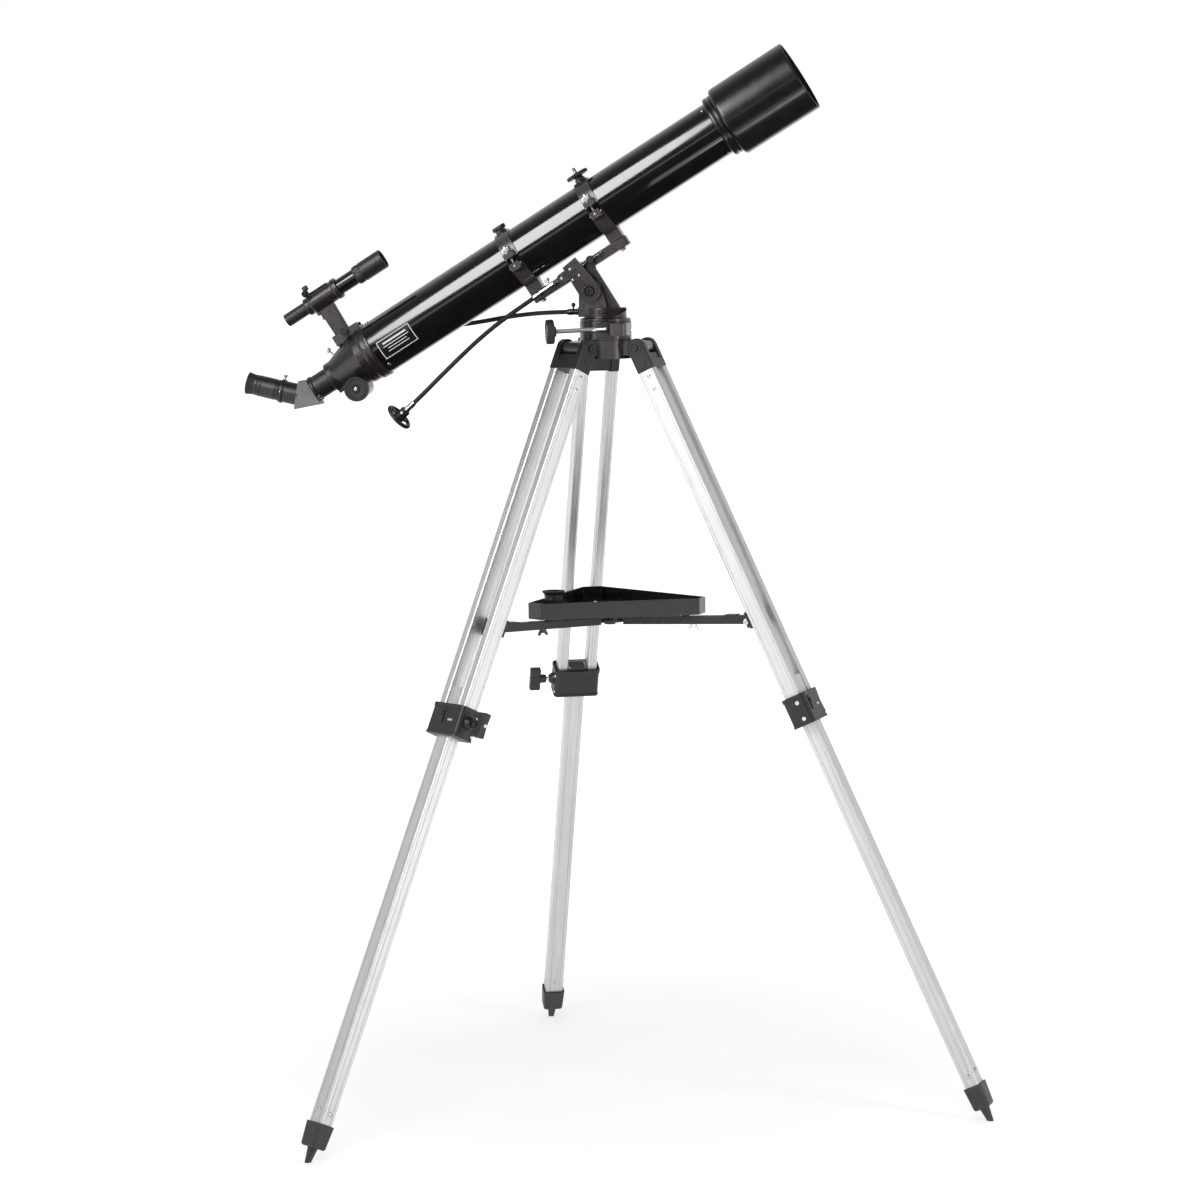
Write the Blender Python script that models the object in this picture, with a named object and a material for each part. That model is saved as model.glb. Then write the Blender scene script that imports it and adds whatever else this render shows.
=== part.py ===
"""Refractor telescope on an alt-azimuth yoke mount and a three-leg tripod.

Metres, +Z up.  The azimuth axis is vertical, and the tube points to +X and a
little towards -Y.  Dimensions are written in millimetres times MM.
"""

import math

import bmesh
import bpy
from mathutils import Matrix, Vector
from mathutils.geometry import convex_hull_2d, tessellate_polygon

MM = 0.001
GAP = 0.3 * MM

# Placement of the azimuth axis, so that the box is centred on the origin
AXIS_X = -5.1 * MM
AXIS_Y = -99.1 * MM

# Tripod
LEG_NAMES = ("a", "b", "c")
LEG_AZIMUTHS = (-139.3, -19.3, 100.7)
FOOT_RADIUS = 624.3 * MM
HINGE_RADIUS = 61.2 * MM
HINGE_HEIGHT = 1221.2 * MM
HUB_RADIUS = 41.0 * MM
HUB_BOTTOM = 1203.0 * MM
HUB_TOP = 1232.4 * MM
EAR_HALF_WIDTH = 19.6 * MM
EAR_ROUND = 13.0 * MM
YOKE_ROUND = 14.5 * MM
YOKE_LENGTH = 40.0 * MM
YOKE_CHEEK = (20.0 * MM, 33.4 * MM)
RAIL_WIDTH = 17.0 * MM
RAIL_DEPTH = 28.0 * MM
RAIL_CENTRE = 24.6 * MM
RAIL_WALL = 1.7 * MM
CLAMP_CENTRE = 633.0 * MM
CLAMP_LENGTH = 46.0 * MM
CLAMP_WIDTH = 75.0 * MM
CLAMP_DEPTH = 38.0 * MM
LOWER_WIDTH = 30.4 * MM
LOWER_DEPTH = 24.0 * MM
LOWER_TOPS = {"a": 577.0 * MM, "b": 577.0 * MM, "c": 604.0 * MM}
LOWER_BOTTOM = 1283.0 * MM
FOOT_WIDTH = 37.0 * MM
FOOT_DEPTH = 31.0 * MM
FOOT_BLOCK = 38.0 * MM
FOOT_TIP_RADIUS = 8.0 * MM
FOOT_TIP_HEIGHT = 7.0 * MM
KNOB_OFFSET = 38.3 * MM

# Spreader and tray
BRACKET_CENTRE = 468.0 * MM
ARM_HUB_HEIGHT = 782.0 * MM
ARM_END_HEIGHT = 788.0 * MM
ARM_WIDTH = 17.0 * MM
ARM_THICK = 14.0 * MM
HUB_DISC_RADIUS = 23.0 * MM
TRAY_TOP = 821.0 * MM
TRAY_HEIGHT = 26.0 * MM
TRAY_CORNER = 157.0 * MM
TRAY_CUT = 32.0 * MM
TRAY_WALL = 2.4 * MM
TRAY_POST_RADIUS = 128.0 * MM
SPARE_PLACE = (106.5 * MM, -8.0)

# Mount, in the turntable's frame
TUBE_HEADING = -8.5
BASE_RADIUS = 41.5 * MM
BASE_BOTTOM = 1232.7 * MM
BASE_TOP = 1262.4 * MM
DISC_RADIUS = 40.5 * MM
DRUM_RADIUS = 33.5 * MM
DISC_TOP = 1268.0 * MM
DRUM_TOP = 1284.0 * MM
PIVOT_R = -20.0 * MM
PIVOT_HEIGHT = 1311.0 * MM
TUBE_ELEVATION = 31.6
AXIS_RISE = 109.2 * MM
LINK_RADIUS = 50.0 * MM
LINK_REAR_ANGLE = 123.4
LINK_FRONT_ANGLE = 58.8
LINK_PLANE = -21.0 * MM
ROD_RADIUS = 2.7 * MM
BAR_REAR = -88.0 * MM
BAR_FRONT = 92.0 * MM
BAR_LOW = 31.2 * MM
BAR_HIGH = 47.0 * MM
BAR_HALF_WIDTH = 12.0 * MM
CABLE_RADIUS = 3.6 * MM

# Optical tube, along X from the altitude pivot
TUBE_RADIUS = 45.0 * MM
TUBE_WALL = 1.5 * MM
TUBE_REAR = -357.0 * MM
TUBE_FRONT = 309.0 * MM
CELL_FRONT = 324.0 * MM
CELL_RADIUS = 51.5 * MM
SHIELD_FRONT = 461.0 * MM
SHIELD_RADIUS = 59.4 * MM
RING_CENTRES = (("front", 77.5 * MM), ("rear", -75.0 * MM))
RING_WIDTH = 24.0 * MM
RING_INNER = 45.35 * MM
RING_OUTER = 48.6 * MM
EAR_PLACE = 59.0 * MM
DRAW_RADIUS = 20.0 * MM
DRAW_REAR = -472.0 * MM
DRAW_FRONT = -330.0 * MM
PINION_X = -402.0 * MM
PINION_DROP = 40.0 * MM
KNOB_RADIUS = 20.5 * MM
EYEPIECE_FACE = (-499.3 * MM, 7.0 * MM)
FINDER_RISE = 117.0 * MM

PALETTE = {
    "tube_black": ((0.010, 0.010, 0.012), 0.12, 0.0),
    "shield_black": ((0.020, 0.020, 0.021), 0.38, 0.0),
    "hammered": ((0.060, 0.052, 0.048), 0.42, 0.35),
    "grey_plastic": ((0.085, 0.088, 0.095), 0.50, 0.0),
    "black_plastic": ((0.022, 0.022, 0.023), 0.45, 0.0),
    "aluminium": ((0.62, 0.62, 0.63), 0.34, 1.0),
    "chrome": ((0.74, 0.74, 0.75), 0.14, 1.0),
    "brass": ((0.62, 0.45, 0.20), 0.28, 1.0),
    "housing_grey": ((0.20, 0.20, 0.205), 0.48, 0.1),
    "lens_glass": ((0.10, 0.12, 0.16), 0.03, 0.0),
    "cable_black": ((0.020, 0.020, 0.020), 0.60, 0.0),
}


def clear_scene():
    """Remove every object of the starting scene."""
    for item in list(bpy.data.objects):
        bpy.data.objects.remove(item, do_unlink=True)


def material(name):
    """Return the named paint or metal as a Principled material."""
    found = bpy.data.materials.get(name)
    if found:
        return found
    colour, roughness, metallic = PALETTE[name]
    made = bpy.data.materials.new(name)
    made.use_nodes = True
    shader = made.node_tree.nodes["Principled BSDF"]
    shader.inputs["Base Color"].default_value = (*colour, 1.0)
    shader.inputs["Roughness"].default_value = roughness
    shader.inputs["Metallic"].default_value = metallic
    return made


def frame(name, parent=None, place=(0, 0, 0), turn=Matrix.Identity(4)):
    """Return an empty that carries pieces."""
    empty = bpy.data.objects.new(name, None)
    bpy.context.scene.collection.objects.link(empty)
    empty.parent = parent
    empty.matrix_local = Matrix.Translation(Vector(place)) @ turn
    return empty


def body(name, verts, faces):
    """Make a mesh object with outward normals."""
    mesh = bpy.data.meshes.new(name)
    mesh.from_pydata([tuple(v) for v in verts], [], faces)
    work = bmesh.new()
    work.from_mesh(mesh)
    bmesh.ops.recalc_face_normals(work, faces=work.faces)
    if work.calc_volume(signed=True) < 0:
        bmesh.ops.reverse_faces(work, faces=work.faces)
    work.to_mesh(mesh)
    work.free()
    made = bpy.data.objects.new(name, mesh)
    bpy.context.scene.collection.objects.link(made)
    return made


AXES = {
    "X": Matrix(((0, 0, 1), (0, 1, 0), (-1, 0, 0))),
    "Y": Matrix(((1, 0, 0), (0, 0, 1), (0, -1, 0))),
    "Z": Matrix.Identity(3),
}


def turned(name, profile, segments=24, axis="Z", at=(0, 0, 0), closed=False):
    """Turn (radius, height) points about an axis; closed loops make rings."""
    verts = []
    rows = []
    matrix = AXES[axis] if isinstance(axis, str) else axis
    for radius, height in profile:
        if radius <= 0:
            rows.append([len(verts)])
            verts.append(Vector((0, 0, height)))
            continue
        row = []
        for k in range(segments):
            turn = 2 * math.pi * (k + 0.5) / segments
            row.append(len(verts))
            verts.append(Vector((radius * math.cos(turn), radius * math.sin(turn), height)))
        rows.append(row)
    faces = []
    count = len(rows)
    for k in range(count if closed else count - 1):
        low, high = rows[k], rows[(k + 1) % count]
        for j in range(segments):
            n = (j + 1) % segments
            if len(low) == 1:
                faces.append((low[0], high[j], high[n]))
            elif len(high) == 1:
                faces.append((low[j], low[n], high[0]))
            else:
                faces.append((low[j], low[n], high[n], high[j]))
    place = Vector(at)
    return body(name, [matrix @ v + place for v in verts], faces)


def rod(name, radius, low, high, segments=16, axis="Z", at=(0, 0, 0)):
    """Make a plain cylinder."""
    profile = [(0, low), (radius, low), (radius, high), (0, high)]
    return turned(name, profile, segments, axis, at)


def prism(name, outline, low, high, holes=(), plane="XY"):
    """Extrude an outline, with holes, along the third axis."""
    loops = [[Vector((p[0], p[1], 0)) for p in outline]]
    loops += [[Vector((p[0], p[1], 0)) for p in hole] for hole in holes]
    flat = [p for loop in loops for p in loop]
    caps = tessellate_polygon(loops)
    count = len(flat)

    def spot(p, height):
        if plane == "XY":
            return Vector((p.x, p.y, height))
        if plane == "XZ":
            return Vector((p.x, height, p.y))
        return Vector((height, p.x, p.y))

    verts = [spot(p, low) for p in flat] + [spot(p, high) for p in flat]
    faces = [tuple(t) for t in caps]
    faces += [tuple(count + i for i in reversed(t)) for t in caps]
    start = 0
    for loop in loops:
        size = len(loop)
        for k in range(size):
            a, b = start + k, start + (k + 1) % size
            faces.append((a, b, count + b, count + a))
        start += size
    return body(name, verts, faces)


def box(name, x, y, z):
    """Make a box from three (low, high) pairs."""
    outline = [(x[0], y[0]), (x[1], y[0]), (x[1], y[1]), (x[0], y[1])]
    return prism(name, outline, z[0], z[1])


def circle(radius, centre=(0, 0), count=24, start=0.0, sweep=2 * math.pi):
    """Return points on a circle or an arc."""
    closed = abs(sweep - 2 * math.pi) < 1e-9
    steps = count if closed else count - 1
    points = []
    for k in range(count):
        turn = start + sweep * k / steps
        points.append((centre[0] + radius * math.cos(turn), centre[1] + radius * math.sin(turn)))
    return points


def rounded(width, depth, radius, corner=3):
    """Return a centred rectangle with round corners."""
    points = []
    for k, (sx, sy) in enumerate(((1, 1), (-1, 1), (-1, -1), (1, -1))):
        middle = (sx * (width / 2 - radius), sy * (depth / 2 - radius))
        points += circle(radius, middle, corner + 1, k * math.pi / 2, math.pi / 2)
    return points


def hull(points):
    """Return the convex outline round some points."""
    return [points[i] for i in convex_hull_2d([Vector(p) for p in points])]


def combine(main, others, operation):
    """Apply an exact Boolean with each other object, then remove it."""
    for other in others:
        step = main.modifiers.new("combine", "BOOLEAN")
        step.operation = operation
        step.solver = "EXACT"
        step.object = other
        bpy.context.view_layer.update()
        graph = bpy.context.evaluated_depsgraph_get()
        result = bpy.data.meshes.new_from_object(main.evaluated_get(graph))
        main.modifiers.clear()
        main.data = result
        bpy.data.objects.remove(other, do_unlink=True)
    return main


def fuse(main, *others):
    """Join solids into one."""
    return combine(main, others, "UNION")


def carve(main, *others):
    """Cut solids away."""
    return combine(main, others, "DIFFERENCE")


def finish(item, parent, paint, place=(0, 0, 0), turn=Matrix.Identity(4), crisp=32.0):
    """Clean a piece, paint it, shade it and hang it in its frame."""
    work = bmesh.new()
    work.from_mesh(item.data)
    bmesh.ops.triangulate(work, faces=work.faces)
    for face in work.faces:
        face.smooth = True
        face.material_index = 0
    for edge in work.edges:
        edge.smooth = edge.calc_face_angle(0) < math.radians(crisp)
    work.to_mesh(item.data)
    work.free()
    item.data.materials.clear()
    item.data.materials.append(material(paint))
    item.parent = parent
    item.matrix_local = Matrix.Translation(Vector(place)) @ turn
    return item


def along(direction):
    """Return a rotation that takes +Z to a direction."""
    return Vector((0, 0, 1)).rotation_difference(Vector(direction)).to_matrix()


def smooth_route(points, steps):
    """Return even points on a smooth curve through the given ones."""
    spots = [Vector(p) for p in points]
    spots = [2 * spots[0] - spots[1]] + spots + [2 * spots[-1] - spots[-2]]
    fine = []
    for k in range(1, len(spots) - 2):
        a, b, c, d = spots[k - 1:k + 3]
        for j in range(24):
            t = j / 24
            fine.append(0.5 * (2 * b + (c - a) * t + (2 * a - 5 * b + 4 * c - d) * t * t
                               + (3 * b - a - 3 * c + d) * t ** 3))
    fine.append(spots[-2])
    lengths = [0.0]
    for a, b in zip(fine, fine[1:]):
        lengths.append(lengths[-1] + (b - a).length)
    even = []
    k = 0
    for j in range(steps + 1):
        want = lengths[-1] * j / steps
        while k < len(lengths) - 2 and lengths[k + 1] < want:
            k += 1
        part = (want - lengths[k]) / max(lengths[k + 1] - lengths[k], 1e-9)
        even.append(fine[k].lerp(fine[k + 1], min(part, 1.0)))
    return even


def swept(name, route, radii, segments=8):
    """Sweep a round section along a route, with flat ends."""
    verts = []
    side = Vector((0, 1, 0))
    for k, spot in enumerate(route):
        ahead = route[min(k + 1, len(route) - 1)] - route[max(k - 1, 0)]
        ahead.normalize()
        side = (side - ahead * side.dot(ahead)).normalized()
        up = ahead.cross(side)
        for j in range(segments):
            turn = 2 * math.pi * j / segments
            verts.append(spot + radii[k] * (math.cos(turn) * side + math.sin(turn) * up))
    faces = [tuple(range(segments))]
    for k in range(len(route) - 1):
        for j in range(segments):
            n = (j + 1) % segments
            low, high = k * segments, (k + 1) * segments
            faces.append((low + j, low + n, high + n, high + j))
    faces.append(tuple(range((len(route) - 1) * segments, len(route) * segments)))
    return body(name, verts, faces)


# ---------------------------------------------------------------- tripod

def tripod_head(rig):
    """Central drum with an ear for each leg."""
    head = rod("tripod_head", HUB_RADIUS, HUB_BOTTOM, HUB_TOP, 32)
    for azimuth in LEG_AZIMUTHS:
        tip = (HINGE_RADIUS, HINGE_HEIGHT)
        low = HINGE_HEIGHT - EAR_ROUND
        high = HINGE_HEIGHT + EAR_ROUND - 2.0 * MM
        ring = [p for p in circle(EAR_ROUND, tip, 16) if p[1] < high]
        points = ring + [(20 * MM, low), (20 * MM, high), (HINGE_RADIUS, high)]
        ear = prism("ear", hull(points), -EAR_HALF_WIDTH, EAR_HALF_WIDTH, plane="XZ")
        ear.data.transform(Matrix.Rotation(math.radians(azimuth), 4, "Z"))
        fuse(head, ear)
    return finish(head, rig, "hammered")


def leg_frame(rig, name, azimuth):
    """Frame at a leg's hinge: -Z runs down the leg, X points outwards."""
    lean = math.atan((FOOT_RADIUS - HINGE_RADIUS) / HINGE_HEIGHT)
    turn = Matrix.Rotation(math.radians(azimuth), 4, "Z")
    place = turn @ Vector((HINGE_RADIUS, 0, HINGE_HEIGHT))
    return frame("leg_frame_" + name, rig, place, turn @ Matrix.Rotation(-lean, 4, "Y"))


def leg_yoke(leg, name):
    """Plastic yoke with two cheeks round the head's ear."""
    outline = hull(circle(YOKE_ROUND, (0, 0), 20)
                   + [(-YOKE_ROUND, -YOKE_LENGTH), (YOKE_ROUND, -YOKE_LENGTH)])
    near, far = YOKE_CHEEK
    yoke = prism("leg_yoke_" + name, outline, near, far, plane="XZ")
    other = prism("cheek", outline, -far, -near, plane="XZ")
    web = box("web", (-4 * MM, YOKE_ROUND), (-near - MM, near + MM), (-YOKE_LENGTH, -25 * MM))
    return finish(fuse(yoke, web, other), leg, "grey_plastic")


def leg_rail(leg, name, side):
    """Hollow extruded rail of an upper leg."""
    low = -(CLAMP_CENTRE - CLAMP_LENGTH / 2) + GAP
    high = -YOKE_LENGTH - GAP
    outline = rounded(RAIL_DEPTH, RAIL_WIDTH, 3 * MM, 2)
    inner = rounded(RAIL_DEPTH - 2 * RAIL_WALL, RAIL_WIDTH - 2 * RAIL_WALL, 1.5 * MM, 1)
    rail = prism("leg_rail_" + name, outline, low, high, [inner])
    return finish(rail, leg, "aluminium", (0, side * RAIL_CENTRE, 0))


def leg_clamp(leg, name):
    """Clamp block that the lower leg slides through."""
    low = -(CLAMP_CENTRE + CLAMP_LENGTH / 2)
    high = low + CLAMP_LENGTH
    outline = rounded(CLAMP_DEPTH, CLAMP_WIDTH, 5 * MM, 3)
    hole = rounded(LOWER_DEPTH + 0.8 * MM, LOWER_WIDTH + 0.8 * MM, 2.6 * MM, 2)
    clamp = prism("leg_clamp_" + name, outline, low, high, [hole])
    return finish(clamp, leg, "grey_plastic")


def lower_leg(leg, name):
    """Hollow lower leg."""
    outline = rounded(LOWER_DEPTH, LOWER_WIDTH, 2.4 * MM, 2)
    inner = rounded(LOWER_DEPTH - 2 * RAIL_WALL, LOWER_WIDTH - 2 * RAIL_WALL, MM, 1)
    piece = prism("lower_leg_" + name, outline, -LOWER_BOTTOM, -LOWER_TOPS[name], [inner])
    return finish(piece, leg, "aluminium")


def leg_foot(leg, name):
    """Moulded foot block with a tapered tip, flat where it meets the floor."""
    lean = math.atan((FOOT_RADIUS - HINGE_RADIUS) / HINGE_HEIGHT)
    top = -LOWER_BOTTOM - GAP
    shoulder = top - FOOT_BLOCK
    length = HINGE_HEIGHT / math.cos(lean)
    centre = -length + FOOT_TIP_HEIGHT / math.cos(lean)
    block = prism("foot_" + name, rounded(FOOT_DEPTH, FOOT_WIDTH, 5 * MM, 3), shoulder, top)
    radius = FOOT_TIP_RADIUS
    profile = [(0, centre - radius)]
    for k in range(1, 4):
        turn = math.pi / 2 * k / 3
        profile.append((radius * math.sin(turn), centre - radius * math.cos(turn)))
    profile += [(14 * MM, shoulder + MM), (0, shoulder + MM)]
    tip = turned("tip", profile, 14)
    fuse(block, tip)
    floor = box("floor", (-60 * MM, 60 * MM), (-60 * MM, 60 * MM), (-80 * MM, 0))
    floor.data.transform(Matrix.Translation((0, 0, -length)) @ Matrix.Rotation(lean, 4, "Y"))
    carve(block, floor)
    return finish(block, leg, "black_plastic")


def clamp_knob(leg, name):
    """Clamp screw with a tee-shaped grip, on the side of a leg clamp."""
    shank = rod("clamp_knob_" + name, 3.0 * MM, 0, 20 * MM, 14, "Y")
    collar = rod("collar", 7.0 * MM, 14 * MM, 24 * MM, 18, "Y")
    grip = prism("grip", rounded(12 * MM, 40 * MM, 5 * MM, 3), 22 * MM, 40 * MM)
    grip.data.transform(Matrix.Rotation(math.radians(-90), 4, "X"))
    fuse(shank, collar, grip)
    place = (0, KNOB_OFFSET, -CLAMP_CENTRE + 3 * MM)
    return finish(shank, leg, "grey_plastic", place)


def arm_end_radius(height):
    """Radius of the rails' inner face at a height."""
    slope = (FOOT_RADIUS - HINGE_RADIUS) / HINGE_HEIGHT
    lean = math.atan(slope)
    return HINGE_RADIUS + slope * (HINGE_HEIGHT - height) - RAIL_DEPTH / 2 / math.cos(lean)


def spreader_arm(rig, name, azimuth):
    """Flat brace from the centre plate to a bracket on the rails."""
    lean = math.atan((FOOT_RADIUS - HINGE_RADIUS) / HINGE_HEIGHT)
    reach = arm_end_radius(ARM_END_HEIGHT) - 6 * MM
    start = 15 * MM
    half = ARM_THICK / 2
    outline = [(start, ARM_HUB_HEIGHT + 5.3 * MM), (HUB_DISC_RADIUS + 9 * MM, ARM_HUB_HEIGHT + 5.3 * MM),
               (reach, ARM_END_HEIGHT + half), (reach, ARM_END_HEIGHT - half),
               (HUB_DISC_RADIUS + 9 * MM, ARM_HUB_HEIGHT - half + MM),
               (HUB_DISC_RADIUS + 2 * MM, ARM_HUB_HEIGHT - half + MM),
               (HUB_DISC_RADIUS + 2 * MM, ARM_HUB_HEIGHT + 2.3 * MM),
               (start, ARM_HUB_HEIGHT + 2.3 * MM)]
    arm = prism("spreader_arm_" + name, outline, -ARM_WIDTH / 2, ARM_WIDTH / 2, plane="XZ")
    plate = box("plate", (-RAIL_DEPTH / 2 - 4.3 * MM, -RAIL_DEPTH / 2 - GAP),
                (-31 * MM, 31 * MM), (-BRACKET_CENTRE - 14 * MM, -BRACKET_CENTRE + 14 * MM))
    knuckle = box("knuckle", (-RAIL_DEPTH / 2 - 14 * MM, -RAIL_DEPTH / 2 - 3 * MM),
                  (-13 * MM, 13 * MM), (-BRACKET_CENTRE - 11 * MM, -BRACKET_CENTRE + 9 * MM))
    swing = Matrix.Translation((HINGE_RADIUS, 0, HINGE_HEIGHT)) @ Matrix.Rotation(-lean, 4, "Y")
    for extra in (plate, knuckle):
        extra.data.transform(swing)
    fuse(arm, knuckle, plate)
    return finish(arm, rig, "black_plastic", (0, 0, 0), Matrix.Rotation(math.radians(azimuth), 4, "Z"))


def spreader_hub(rig):
    """Centre plate that the three braces meet on."""
    profile = [(0, -7 * MM), (9 * MM, -7 * MM), (10 * MM, -3 * MM), (HUB_DISC_RADIUS, -3 * MM),
               (HUB_DISC_RADIUS, 2 * MM), (0, 2 * MM)]
    hub = turned("spreader_hub", profile, 28)
    return finish(hub, rig, "black_plastic", (0, 0, ARM_HUB_HEIGHT))


def tray_outline(inset=0.0):
    """Triangle with cut corners that point at the legs."""
    points = []
    for azimuth in LEG_AZIMUTHS:
        turn = math.radians(azimuth)
        out = Vector((math.cos(turn), math.sin(turn)))
        side = Vector((-out.y, out.x))
        half = TRAY_CUT / 2 - inset * math.tan(math.radians(30))
        points.append(tuple(out * (TRAY_CORNER - inset) - side * half))
        points.append(tuple(out * (TRAY_CORNER - inset) + side * half))
    return points


def tray(rig):
    """Open accessory tray with three short posts that stand on the braces."""
    bottom = -TRAY_HEIGHT
    dish = prism("tray", tray_outline(), bottom, 0)
    carve(dish, prism("hollow", tray_outline(TRAY_WALL), bottom + 3 * MM, MM))
    span = arm_end_radius(ARM_END_HEIGHT) - 6 * MM - HUB_DISC_RADIUS - 9 * MM
    slope = (ARM_END_HEIGHT + ARM_THICK / 2 - ARM_HUB_HEIGHT - 5.3 * MM) / span
    foot = ARM_HUB_HEIGHT + 5.3 * MM + slope * (TRAY_POST_RADIUS + 7 * MM - HUB_DISC_RADIUS - 9 * MM)
    for azimuth in LEG_AZIMUTHS:
        turn = math.radians(azimuth)
        spot = (TRAY_POST_RADIUS * math.cos(turn), TRAY_POST_RADIUS * math.sin(turn), 0)
        post = rod("post", 7 * MM, foot + GAP - TRAY_TOP, bottom + MM, 16, "Z", spot)
        fuse(dish, post)
    return finish(dish, rig, "black_plastic", (0, 0, TRAY_TOP))


def spare_eyepiece(rig):
    """Second eyepiece, stood on its barrel in a corner of the tray."""
    radius, offset = SPARE_PLACE
    turn = math.radians(LEG_AZIMUTHS[0] + offset)
    profile = [(0, 0), (15.8 * MM, 0), (15.8 * MM, 13 * MM), (14.6 * MM, 14 * MM), (14.6 * MM, 31 * MM),
               (15.2 * MM, 33 * MM), (18.2 * MM, 36 * MM), (18.2 * MM, 38 * MM), (12 * MM, 38 * MM),
               (10 * MM, 35 * MM), (0, 35 * MM)]
    piece = turned("spare_eyepiece", profile, 20)
    floor = TRAY_TOP - TRAY_HEIGHT + 3 * MM + GAP
    return finish(piece, rig, "black_plastic", (radius * math.cos(turn), radius * math.sin(turn), floor))


# ---------------------------------------------------------------- mount

def azimuth_base(table):
    """Fixed round base with the block that holds the azimuth lock."""
    base = rod("azimuth_base", BASE_RADIUS, BASE_BOTTOM, BASE_TOP, 36)
    block = box("block", (11 * MM, 43 * MM), (-53 * MM, -20 * MM), (1240 * MM, 1260.5 * MM))
    return finish(fuse(base, block), table, "hammered")


LOCK_PLACE = (10.7 * MM, -44.0 * MM, 1251.5 * MM)
LOCK_AXIS = (-0.9654, -0.2587, -0.035)


def azimuth_lock_knob(table):
    """Long chrome screw with a round knob that locks the azimuth."""
    screw = rod("azimuth_lock_knob", 2.7 * MM, 3 * MM, 88 * MM, 14)
    profile = [(0, 84 * MM), (8 * MM, 84 * MM), (9 * MM, 87 * MM), (18 * MM, 87 * MM),
               (19.5 * MM, 88.5 * MM), (19.5 * MM, 99.5 * MM), (0, 99.5 * MM)]
    fuse(screw, turned("knob", profile, 22))
    turn = along(LOCK_AXIS).to_4x4()
    return finish(screw, table, "black_plastic", LOCK_PLACE, turn)


def link_point(angle):
    """Return a link pivot in the altitude frame's X and Z."""
    turn = math.radians(angle)
    return (LINK_RADIUS * math.cos(turn), LINK_RADIUS * math.sin(turn))


def azimuth_column(table):
    """Turning head: disc, drum and two arms that carry the altitude pivot."""
    profile = [(0, BASE_TOP + GAP), (DISC_RADIUS, BASE_TOP + GAP), (DISC_RADIUS, DISC_TOP - MM),
               (DRUM_RADIUS, DISC_TOP), (DRUM_RADIUS, DRUM_TOP), (0, DRUM_TOP)]
    head = turned("azimuth_column", profile, 32)
    pivot = (PIVOT_R, PIVOT_HEIGHT)
    foot = DISC_TOP + 2 * MM
    left = PIVOT_R - 19 * MM
    front = link_point(LINK_FRONT_ANGLE + TUBE_ELEVATION)
    nut = (PIVOT_R + front[0], PIVOT_HEIGHT + front[1])
    near = hull(circle(19 * MM, pivot, 28) + [(left, foot), (6 * MM, foot), (6 * MM, DRUM_TOP + 2 * MM)])
    near_arm = prism("near_arm", near, -25.5 * MM, -16.5 * MM, plane="XZ")
    neck = [(PIVOT_R - 7.5 * MM, PIVOT_HEIGHT), (-10 * MM, DRUM_TOP - 2 * MM), (26 * MM, DRUM_TOP - 2 * MM),
            (26 * MM, DRUM_TOP + 2 * MM), (PIVOT_R + 8 * MM, nut[1] - 14 * MM),
            (PIVOT_R - 7.5 * MM, nut[1] - 14 * MM)]
    near_neck = prism("near_neck", neck, -17.2 * MM, -12.5 * MM, plane="XZ")
    cheek = hull(circle(6.5 * MM, nut, 16) + [(PIVOT_R - 7.5 * MM, PIVOT_HEIGHT + 10 * MM),
                                              (PIVOT_R + 12 * MM, PIVOT_HEIGHT + 10 * MM)])
    cheek_plate = prism("cheek", cheek, -17 * MM, -12.7 * MM, plane="XZ")
    far = hull(circle(17 * MM, pivot, 24) + [(left + 2 * MM, foot), (14 * MM, foot)])
    far_arm = prism("far_arm", far, 20.5 * MM, 28.5 * MM, plane="XZ")
    worm = rod("worm_case", 8.5 * MM, -45 * MM, -12 * MM, 18, "X", (0, 11 * MM, DISC_TOP + 9.5 * MM))
    fuse(head, near_arm, near_neck, cheek_plate, far_arm, worm)
    bore = rod("bore", 4.4 * MM, -60 * MM, 60 * MM, 18, "Y", (PIVOT_R, 0, PIVOT_HEIGHT))
    pin = rod("pin", 2.3 * MM, -30 * MM, 0, 12, "Y", (nut[0], 0, nut[1]))
    carve(head, bore, pin)
    return finish(head, table, "hammered")


def altitude_bolt(table):
    """Pivot bolt through the arms, with its nut on the far side."""
    profile = [(0, -33.4 * MM), (7 * MM, -33.4 * MM), (7 * MM, -29.8 * MM), (4.2 * MM, -29.8 * MM),
               (4.2 * MM, 28.8 * MM), (10 * MM, 28.8 * MM), (10 * MM, 36 * MM), (0, 36 * MM)]
    bolt = turned("altitude_bolt", profile, 20, "Y")
    return finish(bolt, table, "chrome", (PIVOT_R, 0, PIVOT_HEIGHT))


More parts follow.
